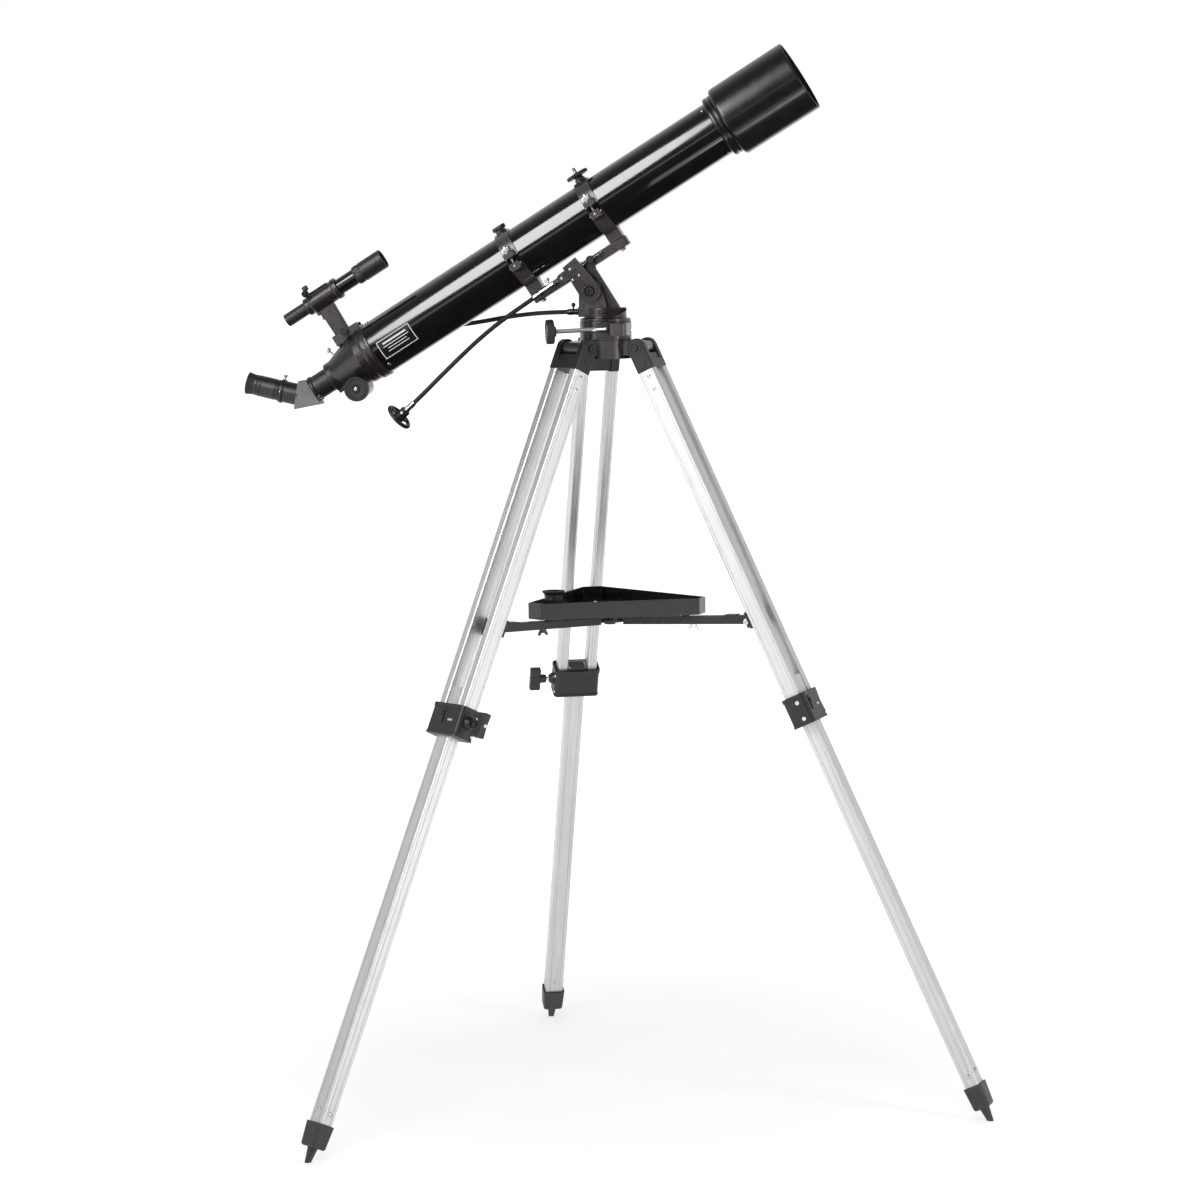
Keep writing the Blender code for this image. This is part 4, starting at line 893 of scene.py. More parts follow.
def foot(n, leg):
    """Tapered foot block with a peg that ends flat on the floor."""
    block_shape = loft([(rectangle(31, 37, 5), -1283.3), (rectangle(27.8, 33.8, 4.6), -1317.5),
                        (rectangle(26.8, 32.8, 4.4), -1320), (rectangle(23.6, 29.6, 4), -1321.6)])
    peg = lathe([(0, -1316), (9.4, -1316), (8.3, -1321.6), (7.6, -1325), (4.9, -1339), (0, -1339)], 32)
    upright = leg.to_3x3().col[2].z
    for vert in peg[0]:
        if vert.z < -1338 * MM:
            vert.z -= (leg @ vert).z / upright
    piece("foot_shell_" + n, merged(block_shape, peg), "lower_leg_" + n, FOOT_PLASTIC, leg, 0.7,
          replaces="foot_" + n)


def clamp(n, leg):
    """Clamp block with its lip, pocket wall, boss, window and knob."""
    shell = pipe(rectangle(38, 75, 6.5), rectangle(24.8, 31.2, 2.6), CLAMP_LOW, CLAMP_HIGH)
    lip = pipe(rectangle(40.4, 77.4, 7.5), rectangle(35.4, 72.4, 5.5), CLAMP_HIGH - 3, CLAMP_HIGH + 3.5)
    hem = pipe(rectangle(39.6, 76.6, 7.2), rectangle(33, 70, 5.2), CLAMP_LOW - 0.4, CLAMP_LOW + 3.4)
    wall = block((-16.6, -13.4), (-12, 12), (-612, -598))
    boss = moved(ring([(3.3, 0), (11, 0), (9.6, 4.4), (6.2, 9), (3.3, 9)], 0.6, 48),
                 facing((0, 37, CLAMP_KNOB), FAR))
    ribs = [block((-12.6, -11.2), (37, 38.3), (-652, -616)), block((11.2, 12.6), (37, 38.3), (-652, -616))]
    piece("clamp_block_" + n, merged(shell, lip, hem, wall, boss, *ribs), "tripod", BLACK_PLASTIC, leg, 0.7,
          replaces="leg_clamp_" + n)
    window = prism(rectangle(11, 3.4, 0.8), -0.6, 0.35)
    set_of("clamp_window_" + n, [(window, facing((19, 14, -632), FRONT) @ spin(90, "Z"))], "tripod",
           ALUMINIUM, leg)
    items = [(screw(3.4, 1.6, "hexagon"), facing((4.2, -37.5, z), NEAR)) for z in (-619, -646)]
    items += [(screw(2.6, 1.3), facing((-13.6, 37.5, z), FAR)) for z in (-618, -648)]
    set_of("clamp_screws_" + n, items, "tripod", STEEL, leg)
    latch = merged(block((18.6, 20.6), (-22, -4), (-638, -614)),
                   block((20.2, 21.8), (-19, -7), (-627, -618)))
    piece("clamp_latch_" + n, latch, "tripod", BLACK_PLASTIC, leg, 0.6)
    place = leg @ shift(0, 38.3, CLAMP_KNOB)
    shank = moved(rod(3.0, 0, 18, 28), spin(-90, "X"))
    piece("clamp_shank_" + n, shank, "clamp_knob_" + n, CHROME, place)
    tee = soften([(-4.8, 0), (-5.2, 8), (-6.2, 20), (6.2, 20), (5.2, 8), (4.8, 0), (5.2, -8),
                  (6.2, -20), (-6.2, -20), (-5.2, -8)], 2.2, 3, True)
    grip = moved(prism(tee, 22.4, 40), spin(-90, "X"))
    collar = moved(turned([(0, 12.5), (6.2, 12.5), (7.2, 16), (7.4, 24), (0, 24)], 0.8, 40), spin(-90, "X"))
    piece("clamp_grip_" + n, merged(grip, collar), "clamp_knob_" + n, BLACK_PLASTIC, place, 1.3,
          replaces="clamp_knob_" + n)
    tip = moved(screw(3.0, 1.0, "hexagon"), shift(0, 40, 0) @ spin(-90, "X"))
    piece("clamp_tip_" + n, tip, "clamp_knob_" + n, STEEL, place)


def arm(n):
    """Brace, with the hardware on both of its ends."""
    place = RIG @ spin(LEG_AZIMUTHS[n], "Z")
    refined("spreader_arm_" + n, "tripod", BLACK_PLASTIC, place, 0.6)
    slope = math.degrees(math.atan2(7.7, 207.6))
    bottom = 776 + 0.0241 * (WING_NUT_SPOT - 32)
    set_of("tray_wing_nut_" + n,
           [(wing_nut(19, 11), shift(WING_NUT_SPOT, 0, bottom + 0.3) @ spin(180, "X"))], "tripod",
           STEEL if n == "b" else DARK_STEEL, place)
    plate = moved(prism(rectangle(22, 19, 2.5), -0.4, 1.6), shift(206, 0, 793.8) @ spin(-slope, "Y"))
    piece("arm_plate_" + n, plate, "tripod", BLACK_PLASTIC, place, 0.4)
    rivets = [(screw(3.2, 1.8), shift(40, 0, 787.4)), (screw(2.8, 1.6), shift(22, 0, 787.1))]
    set_of("arm_rivets_" + n, rivets, "tripod", STEEL, place)
    leg = LEG[n]
    bolts = [(screw(5.4, 3.0), facing((BRACKET_SPOT, s * 13, BRACKET_HEIGHT), (0, s, 0))) for s in (1, -1)]
    barrel = rod(4.4, -13, 13, 32)
    bolts.append((barrel, facing((BRACKET_SPOT, 0, BRACKET_HEIGHT), FAR)))
    bolts += [(screw(3.0, 1.6), facing((-18.3, s * 24, BRACKET_HEIGHT), REAR)) for s in (1, -1)]
    set_of("bracket_bolts_" + n, bolts, "tripod", STEEL, leg)


def tripod_centre():
    """Head casting, brace plate, tray and spare eyepiece."""
    refined("tripod_head", "tripod", HAMMERED, RIG, 1.4)
    refined("spreader_hub", "tripod", BLACK_PLASTIC, RIG, 0.8)
    set_of("spreader_bolt", [(hexagon_nut(10, 4), shift(0, 0, 783.8))], "tripod", STEEL, RIG)
    refined("tray", "tray", TRAY_PAINT, RIG, 0.7)
    items = []
    for azimuth in LEG_AZIMUTHS.values():
        items.append((screw(4.0, 1.8), spin(azimuth, "Z") @ shift(128, 0, 797.9)))
    set_of("tray_screws", items, "tray", STEEL, RIG)
    turn = math.radians(SPARE_AZIMUTH)
    place = RIG @ shift(SPARE_SPOT * math.cos(turn), SPARE_SPOT * math.sin(turn), 798.3)
    grip = lathe([(0, 12.6), (15, 12.6), (15.2, 13.2), (14.6, 14), (ribbed(14.7, 36, 0.6), 15.4),
                  (ribbed(14.7, 36, 0.6), 24), (14.4, 25.2), (13.9, 25.8), (13.9, 26.8), (14.6, 27.4),
                  (14.6, 31), (0, 31)], 144)
    piece("spare_eyepiece_body", grip, "spare_eyepiece", ANODISED, place, replaces="spare_eyepiece")
    barrel = ring([(13.8, 0), (15.8, 0), (15.8, 13), (13.8, 13)], 0.5, 96)
    piece("spare_eyepiece_barrel", barrel, "spare_eyepiece", CHROME, place)
    cup = ring([(10, 30.8), (14.5, 30.8), (15.2, 33), (17.4, 35.2), (18.2, 36.4), (18.2, 38), (13, 38),
                (10.4, 34.8)], 0.6, 96)
    piece("spare_eye_cup", cup, "spare_eyepiece", RUBBER, place)
    dome = [(0, 33)] + [(10.4 * math.sin(t), 34.4 - 1.2 * math.sin(t) ** 2)
                        for t in (1.57, 1.1, 0.7, 0.35)] + [(0, 34.4)]
    piece("spare_eye_lens", lathe(dome, 48), "spare_eyepiece", GLASS, place, crisp=60)


# ---------------------------------------------------------------- mount

def link_end(name):
    """Return where the fine-motion screw meets the cradle or the head, from the pivot."""
    angle = math.radians(LINK_ANGLES[name])
    return LINK * math.cos(angle), LINK * math.sin(angle)


def mount():
    """Base, lock, turning head, fork, bar and fine-motion screw."""
    base = turned([(0, 1232.7), (41.5, 1232.7), (41.5, 1246.4), (40.2, 1247.2), (40.2, 1248.2),
                   (41.5, 1249), (41.5, 1262.4), (0, 1262.4)], 0.9, 128)
    outline = hull(circle(9.5, (31, -44), 24) + circle(6, (18, -46), 16) + [(11, -20), (43, -20)])
    lug = prism(outline, 1240, 1260.5)
    piece("azimuth_base_casting", merged(base, lug), "tripod", HAMMERED, TABLE, 0.9,
          replaces="azimuth_base")
    place = TABLE @ facing((10.7, -44, 1251.5), (-0.9654, -0.2587, -0.035))
    rows = [(0, 3)] + threads(2.35, 2.7, 4, 0.6, 28) + [(3.4, 21.4), (3.4, 84), (0, 84)]
    piece("azimuth_lock_screw", lathe(rows, 28), "azimuth_lock", SATIN_STEEL, place)
    rim = ribbed(19.5, 40, 0.5)
    knob = lathe([(0, 83.6), (7.4, 83.6), (8.2, 85), (9, 87), (17.6, 87), (rim, 88.4), (rim, 98),
                  (18.2, 99.5), (15.4, 99.5), (14.8, 98.4), (8, 98.4), (7.4, 99.3), (0, 99.3)], 160)
    piece("azimuth_lock_grip", knob, "azimuth_lock", KNOB_PLASTIC, place, replaces="azimuth_lock_knob")
    refined("azimuth_column", "turning_head", HAMMERED, TABLE, 1.0)
    band = turned([(0, 1262.7), (40.5, 1262.7), (40.5, 1267), (34.2, 1268.4), (33.9, 1272), (33.9, 1282.6),
                   (33, 1284.3), (0, 1284.3)], 0.8, 128)
    piece("column_drum", band, "turning_head", HAMMERED, TABLE, 0.0)
    stud = moved(screw(7.0, 3.4, "hexagon"), facing((-20, -29.8, 1311), NEAR))
    piece("altitude_bolt_head", stud, "turning_head", DARK_STEEL, TABLE)
    shank = moved(rod(4.2, -30.2, 28.8, 32), ALONG_Y)
    nut = moved(hexagon_nut(19, 6.6), facing((0, 28.6, 0), FAR))
    washer = moved(turned([(0, 0), (11, 0), (11, 1.2), (0, 1.2)], 0.3, 48), facing((0, 28.5, 0), FAR))
    piece("altitude_bolt_shank", merged(shank, nut, washer), "turning_head", STEEL, TABLE @ shift(*PIVOT),
          replaces="altitude_bolt")
    refined("altitude_cradle", "cradle", HAMMERED, TILT, 1.0)
    refined("mounting_bar", "cradle", HAMMERED, TILT, 1.1)
    items = [(screw(3.0, 1.5), facing((-7.6, -34, 45.9), NEAR)),
             (screw(2.5, 1.3), facing((-0.6, -34, 29.7), NEAR)),
             (screw(2.5, 1.3), facing((-13.0, -34, 28.7), NEAR))]
    for x in (REAR_RING, FRONT_RING):
        items.append((screw(4.6, 4.0, "hexagon"), facing((x, 0, 31.2), DOWN)))
    for x in (-13, 6):
        items.append((screw(3.2, 2.0, "hexagon"), facing((x, 0, 47), UP)))
    set_of("cradle_screws", items, "cradle", STEEL, TILT)
    rear, front = link_end("rear"), link_end("front")
    lean = math.degrees(math.atan2(front[1] - rear[1], front[0] - rear[0]))
    place = TILT @ shift(rear[0], SCREW_SIDE, rear[1]) @ spin(-lean, "Y")
    rows = [(0, -40), (2.7, -40), (2.7, -21)] + threads(2.25, 2.7, -20, 0.62, 154) + [(2.2, 76), (0, 76)]
    swivel = moved(turned([(0, -4.2), (6, -4.2), (6, 4), (0, 4)], 0.6, 48), ALONG_Y)
    pin = moved(rod(2.5, -12.6, 0, 28), ALONG_Y)
    piece("fine_motion_screw", merged(along(lathe(rows, 24)), swivel, pin), "altitude_screw", CHROME, place,
          replaces="altitude_rod")
    sleeve = along(turned([(0, -46), (4.6, -46), (5.2, -45), (5.2, -17), (4.4, -15.5), (0, -15.5)], 0.5,
                          40))
    piece("cable_sleeve", sleeve, "altitude_screw", CHROME, place)
    screw_head = moved(thumb_screw(4.6, 5.0, (1.5, 7), 14), facing((-23, 0, 8.6), UP))
    piece("sleeve_thumb_screw", screw_head, "altitude_screw", STEEL, place)
    refined("altitude_nut", "altitude_nut", DARK_STEEL, TABLE, 0.5)


def cables():
    """Flexible shafts, their ferrules and their hand wheels."""
    table_ends = [(-45.4, 11, 1277.5), (-62, 13, 1277.3), (-95, 36, 1276), (-130, 62, 1273.5),
                  (-172, 79, 1268.5), (-225, 88, 1260), (-300, 93, 1250), (-376, 95, 1241)]
    rear = link_end("rear")
    tilt_ends = [(rear[0] - 40.5, SCREW_SIDE, rear[1] - 0.9), (rear[0] - 56, -22, rear[1] - 2)]
    turn = spin(TUBE_ELEVATION, "Y")
    hanging = [(-153, -38, 1272), (-182, -51, 1249), (-211, -62, 1223), (-252, -72, 1183.5),
               (-284.5, -76.5, 1151.5), (-312.7, -72.6, 1126.3)]
    for x, y, z in hanging:
        tilt_ends.append(tuple(turn @ Vector((x - PIVOT[0], y, z - PIVOT[2]))))
    todo = (("azimuth", table_ends, 28, TABLE, "turning_head", "azimuth_hand_knob"),
            ("altitude", tilt_ends, 26, TILT, "altitude_screw", "altitude_hand_knob"))
    for name, points, steps, place, body, knob_body in todo:
        coarse = smooth_route(points, steps)
        route = smooth_route([tuple(p) for p in coarse], 130)
        line = route[4:-4]
        sheath = piece(name + "_cable_sheath", sweep(line, 3.6, 20), body, CABLE, place,
                       replaces=name + "_cable")
        ahead = (coarse[-1] - coarse[-2]).normalized()
        first = (coarse[1] - coarse[0]).normalized()
        wheel = place @ facing(tuple(coarse[-1] + ahead * 0.3), tuple(ahead))
        start = place @ facing(tuple(coarse[0]), tuple(first))
        crimp = [(0, 0), (5, 0), (5, 5), (4.5, 5.8), (4.5, 7.2), (5, 8), (5, 15), (4.2, 18), (3.7, 19),
                 (0, 19)]
        end = place @ facing(tuple(coarse[-1] - ahead * 19.0), tuple(ahead))
        back = [(radius, 19 - height) for radius, height in crimp[::-1]]
        plating = DARK_STEEL if name == "azimuth" else CHROME
        near = piece(name + "_near_ferrule", turned(crimp, 0.3, 40), body, plating, start)
        far = piece(name + "_far_ferrule", turned(back, 0.3, 40), body, CHROME, end)
        hub = turned([(0, 0), (7.2, 0), (8, 1), (8, 12), (9.2, 13.5), (9.2, 19.2), (8, 20), (0, 20)], 0.5,
                     48)
        loop = []
        for k in range(16):
            t = 2 * PI * k / 16
            size = 20.5 + 3.3 * math.cos(t)
            loop.append((ribbed(size, 30, 0.45) if math.cos(t) > 0.3 else size, 17 + 3.3 * math.sin(t)))
        solids = [hub, lathe(loop, 150, True)]
        for k in range(3):
            spoke = soften([(5, -3.4), (18.5, -2.6), (18.5, 2.6), (5, 3.4)], 0.4, 2, True)
            solids.append(moved(prism(spoke, 14.8, 18.8), spin(120 * k, "Z")))
        grip = piece(name + "_hand_wheel", merged(*solids), knob_body, BLACK_PLASTIC, wheel, 0.5,
                     replaces=name + "_cable_knob")
        fit = [(screw(2.0, 1.4, "hexagon"), facing((0, -8, 6), NEAR)),
               (screw(4.4, 1.2), facing((0, 0, 20), UP))]
        fixing = set_of(name + "_wheel_screws", fit, knob_body, STEEL, wheel)
        path = [place @ (p * MM) for p in line]
        length = sum((b - a).length for a, b in zip(path, path[1:]))
        tuple(path[0])
    ball = lathe([(0, -2), (1.4, -2), (1.4, 5.4), (2.6, 6), (3.4, 7.6), (3.5, 9), (2.9, 10.8), (1.6, 12),
                  (0, 12.3)], 28)
    piece("azimuth_ball_screw", moved(ball, shift(-53.6, 12, 1280)), "turning_head", DARK_STEEL, TABLE)


# ---------------------------------------------------------------- optical tube

def on_tube(a, angle):
    """Place on the tube's surface: Z points outwards and X runs along the tube."""
    turn = math.radians(angle)
    out = Vector((0, -math.cos(turn), math.sin(turn)))
    course = Vector(FRONT)
    turn = Matrix((course, out.cross(course), out)).transposed().to_4x4()
    spot = out * TUBE_RADIUS
    return shift(a, spot.y, spot.z) @ turn


def patch(a, angles, radii, steps=12):
    """Curved plate on the tube, between two stations and two angles."""
    verts = []
    faces = []
    for k in range(steps + 1):
        turn = math.radians(angles[0] + (angles[1] - angles[0]) * k / steps)
        for x in a:
            for r in radii:
                verts.append(Vector((x, -r * math.cos(turn), r * math.sin(turn))) * MM)
    for k in range(steps):
        b, c = 4 * k, 4 * k + 4
        faces += [(b, b + 1, c + 1, c), (b + 2, c + 2, c + 3, b + 3), (b + 1, b + 3, c + 3, c + 1),
                  (b, c, c + 2, b + 2)]
    last = 4 * steps
    faces += [(0, 2, 3, 1), (last, last + 1, last + 3, last + 2)]
    return verts, faces


def tube():
    """Main tube, its label and its screws, the cell, the objective and the hood."""
    profile = [(45, -357), (45, 309), (43.5, 309), (43.5, -357)]
    piece("tube_shell", along(ring(profile, 0.5, 192)), "cradle", ENAMEL, OTA, replaces="main_tube")
    baffles = []
    for x, r in ((200, 38), (40, 33), (-120, 27)):
        baffles.append(along(ring([(r, x), (43.5, x), (43.5, x + 1.2), (r + 0.4, x + 1.2)], 0.1, 72)))
    piece("tube_baffles", merged(*baffles), "cradle", MATT_BLACK, OTA)
    piece("label_panel", patch(LABEL_ENDS, LABEL_ANGLES, (44.9, 45.10), 24), "cradle", LABEL, OTA)
    lines = [patch(ends, LABEL_ANGLES, INK_RADII, 24) for ends in ((-336.6, -335.4), (-276.0, -274.8))]
    lines += [patch(LABEL_ENDS, angles, INK_RADII, 2) for angles in ((4.9, 6.4), (-34.2, -32.7))]
    for half, low, high in ((22, -4.6, -1.0), (24, -10.4, -8.8), (18, -16.6, -15.2), (20, -22.6, -21.2)):
        lines.append(patch((-305.7 - half, -305.7 + half), (low, high), INK_RADII, 3))
    piece("label_lines", merged(*lines), "cradle", INK, OTA)
    heads = [(screw(3.1, 1.5), on_tube(-338.4, angle)) for angle in (-47.5, 78.0, 195.0)]
    heads += [(screw(2.2, 1.1), on_tube(303, angle)) for angle in (-70.0, 50.0, 170.0)]
    set_of("tube_screws", heads, "cradle", STEEL, OTA)
    cell = [(42, 309.3), (50, 309.3), (51.3, 310.4), (51.5, 312), (51.5, 315.5), (50.4, 316.4),
            (50.4, 317.8), (51.5, 318.7), (51.5, 322.8), (50.6, 324), (49.1, 324), (49.1, 338),
            (45.5, 338), (45.5, 317.3), (42, 317.3)]
    piece("cell_ring", along(ring(cell, 0.6, 160)), "cradle", SHIELD, OTA, replaces="lens_cell")
    glass = [(0, 318.6), (20, 318.1), (40, 317.6), (45.2, 317.6), (45.2, 330.6)]
    glass += [(45.2 * math.cos(t),
               330.6 + 2.9 * math.sin(t)) for t in [PI / 2 * k / 14 for k in range(1, 14)]]
    glass.append((0, 333.5))
    piece("objective_glass", along(lathe(glass, 128)), "cradle", GLASS, OTA, crisp=60,
          replaces="objective_lens")
    seat = [(42.4, 330.9), (45.4, 330.9), (45.4, 334), (43.6, 334)]
    piece("objective_seat", along(ring(seat, 0.3, 128)), "cradle", MATT_BLACK, OTA)
    hood = [(49.4, 324.3), (55.6, 324.3), (57.4, 325.6), (58.6, 328.2), (58.9, 331.5), (59.4, 458.5),
            (59.1, 460.4), (58.4, 461), (57.4, 461), (57.2, 459), (57.1, 327.3), (51.6, 327.3),
            (51.6, 338.3), (49.4, 338.3)]
    piece("hood_shell", along(ring(hood, 0.8, 192)), "dew_shield", SHIELD, OTA, replaces="dew_shield")
    lining = [(56.75, 328), (57.15, 328), (57.15, 458.8), (56.75, 458.8)]
    piece("hood_lining", along(ring(lining, 0.1, 160)), "dew_shield", MATT_BLACK, OTA)


def rings():
    """Tube rings, their felt, hinge pins, swing bolts and thumb nuts."""
    for name, x in (("front", FRONT_RING), ("rear", REAR_RING)):
        place = OTA @ shift(x, 0, 0)
        refined("ring_lower_" + name, "cradle", HAMMERED, place, 0.8)
        refined("ring_cap_" + name, "cradle", HAMMERED, place, 0.8)
        felt = ring([(45.06, -11.4), (45.36, -11.4), (45.36, 11.4), (45.06, 11.4)], 0.02, 128)
        piece("ring_felt_" + name, along(felt), "cradle", MATT_BLACK, place)
        pin = along(lathe([(0, -13.4), (1.8, -13.4), (2.3, -12.6), (2.3, 12.6), (1.8, 13.4), (0, 13.4)],
                          24))
        items = [(pin, shift(0, 53.2, 0))]
        items.append((screw(2.3, 1.4), facing((0, -68, -13.6), NEAR)))
        cross = along(lathe([(0, -10.6), (2.0, -10.6), (2.4, -9.6), (2.4, 9.6), (2.0, 10.6), (0, 10.6)],
                            24))
        items.append((cross, shift(0, -59, -13.6)))
        set_of("ring_pins_" + name, items, "cradle", STEEL, place)
        rows = [(0, -19), (2.6, -19), (2.6, -8.2)] + threads(2.2, 2.6, -8, 0.5, 60)
        bolt = lathe(rows + [(2.1, 22.6), (0, 23)], 24)
        piece("swing_bolt_" + name, bolt, "ring_knob_" + name, STEEL, place @ shift(0, -59, 0))
        rim = ribbed(8.6, 20, 0.9)
        nut = lathe([(0, 10.2), (5.2, 10.2), (5.2, 11.4), (7.8, 11.6), (rim, 12.8), (rim, 17.2),
                     (7.6, 18.6), (5, 18.6), (4.2, 20.6), (0, 20.6)], 160)
        piece("thumb_nut_" + name, nut, "ring_knob_" + name, STEEL, place @ shift(0, -59, 0),
              replaces="ring_knob_" + name)
    rear = OTA @ shift(REAR_RING, 0, 0)
    grip = lobed(11.5, 2, 4.0)
    plug = lathe([(0, 51.6), (7, 51.6), (7, 53), (lobed(10.8, 2, 3.6), 53.4), (grip, 54.6), (grip, 58.4),
                  (lobed(10.4, 2, 3.4), 59.6), (0, 59.6)], 72)
    piece("rear_ring_plug", plug, "cradle", BLACK_PLASTIC, rear)
    front = OTA @ shift(FRONT_RING, 0, 0)
    rim = ribbed(18.5, 30, 0.9)
    knob = lathe([(0, 52.7), (7.2, 52.7), (7.2, 55.6), (8, 56.6), (17.2, 56.8), (rim, 57.8), (rim, 61),
                  (17.4, 62), (9, 62), (8.6, 61.4), (4.6, 61.4), (4.2, 62), (0, 62)], 240)
    piece("camera_knob_grip", knob, "camera_knob", BLACK_PLASTIC, front, replaces="camera_knob")
    rows = [(0, 60), (3.0, 60), (3.0, 62)] + threads(2.55, 3.0, 62.2, 0.62, 15)
    stud = lathe(rows + [(2.4, 71.8), (1.6, 72.4), (0, 72.4)], 28)
    piece("camera_stud", stud, "camera_knob", STEEL, front)


def focuser():
    """Rear housing with its shoe and pinion case, drawtube, rack and knobs."""
    outer = [(45.3, -347), (46.4, -347), (47.4, -348.2), (47.4, -352.6), (46.8, -353.6), (46.8, -361),
             (45.8, -363.2), (44, -364.4), (43.8, -377), (42.4, -380.4), (27.4, -421.5), (26.0, -425.5),
             (25.5, -429), (25.5, -437), (24.6, -438), (20.6, -438), (20.6, -404), (24, -402), (38, -374),
             (38, -357.3), (45.3, -357.3)]
    house = along(ring(outer, 1.6, 160))
    case = moved(prism(hull(circle(13.6, (-402, 40), 40) + [(-424, 22), (-384, 30), (-424, 30)]), -22,
                       22), spin(90, "X"))
    case = ([Vector((v.x, v.y, -abs(v.z))) for v in case[0]], case[1])
    shoe_side = [(-16, 36), (16, 36), (15.2, 54), (9.6, 54), (11.8, 46.2), (-11.8, 46.2), (-9.6, 54),
                 (-15.2, 54)]
    shoe = moved(prism(shoe_side, -399, -351), ACROSS)
    piece("focuser_casting", merged(house, case, shoe), "cradle", HAMMERED, OTA, 0.9,
          replaces="focuser_housing")
    cover = []
    for side in (-1, 1):
        for x, z in ((-417, -31), (-388.6, -36), (-402, -51)):
            if side < 0 or x != -402:
                cover.append((screw(1.9, 1.1), facing((x, side * 22, z), (0, side, 0))))
    set_of("pinion_case_screws", cover, "cradle", STEEL, OTA)
    items = [(thumb_screw(4.6, 6.4, (1.8, 9), 14), facing((-417, 0, 37.5), (-0.34, 0, 0.94))),
             (thumb_screw(2.2, 3.0, (1.2, 4), 12), facing((-375, 20, 50.5), FAR))]
    set_of("housing_thumb_screws", items, "cradle", STEEL, OTA)
    lock = thumb_screw(6.5, 5.8, (1.8, 6), 18)
    piece("shoe_lock_screw", lock, "cradle", DARK_STEEL, OTA @ facing((-374.8, -21, 50.5), NEAR))
    draw = [(20, -466), (20, -330), (17.5, -330), (17.5, -450), (16.1, -450), (16.1, -472), (21.2, -472),
            (21.8, -471), (21.8, -468), (21.2, -466.6)]
    rack = [(-438, -19), (-438, -27.2)]
    for k in range(66):
        x = -437.6 + 1.57 * k
        rack += [(x, -28), (x + 0.55, -28), (x + 0.8, -26.6), (x + 1.3, -26.6)]
    rack += [(-333.8, -27.2), (-333.8, -19)]
    teeth = moved(prism([(x, -z) for x, z in rack], -3.5, 3.5), spin(-90, "X"))
    teeth = ([Vector((v.x, v.y, -abs(v.z))) for v in teeth[0]], teeth[1])
    piece("drawtube_shell", merged(along(ring(draw, 0.4, 128)), teeth), "drawtube", ANODISED, OTA,
          replaces="drawtube")
    grab = [(thumb_screw(3.6, 6.0, (1.5, 5), 12), facing((-466, -19.0, -15.0), (0, -0.78, -0.62))),
            (thumb_screw(3.6, 6.0, (1.5, 5), 12), facing((-466, 19.0, 15.0), (0, 0.78, 0.62)))]
    set_of("drawtube_thumb_screws", grab, "drawtube", STEEL, OTA)
    place = OTA @ shift(*PINION)
    shaft = rod(3, -26, 46, 32)
    tooth = ribbed(11.6, 22, 2.0)
    gear = lathe([(0, -4.4), (9, -4.4), (tooth, -4.2), (tooth, 4.2), (9, 4.4), (0, 4.4)], 176)
    piece("pinion_shaft", moved(merged(shaft, gear), ALONG_Y), "focus_shaft", BRASS, place)
    rim = ribbed(20.5, 48, 0.8)
    rows = [(0, 33), (8, 33), (9.4, 36), (10, 39.4), (18.9, 40), (rim, 41.4), (rim, 52), (19.1, 54),
            (16.6, 54), (15.8, 53), (6.6, 52.6), (5.4, 54), (4.2, 54), (3.8, 53), (0, 53)]
    wheel = moved(lathe(rows, 240), spin(90, "X"))
    cap = moved(turned([(0, 23), (8, 23), (8, 29), (6.8, 30), (0, 30)], 0.6, 64), spin(-90, "X"))
    piece("focus_wheel", merged(wheel, cap), "focus_shaft", BLACK_PLASTIC, place, replaces="focus_shaft")
    heads = [(screw(3.4, 1.4), facing((0, -53, 0), NEAR)), (screw(2.4, 1.0), facing((0, 29.8, 0), FAR))]
    set_of("focus_wheel_screws", heads, "focus_shaft", STEEL, place)


EYE = OTA @ shift(-499.3, 0, 7) @ spin(-135, "Y") @ ALONG_X


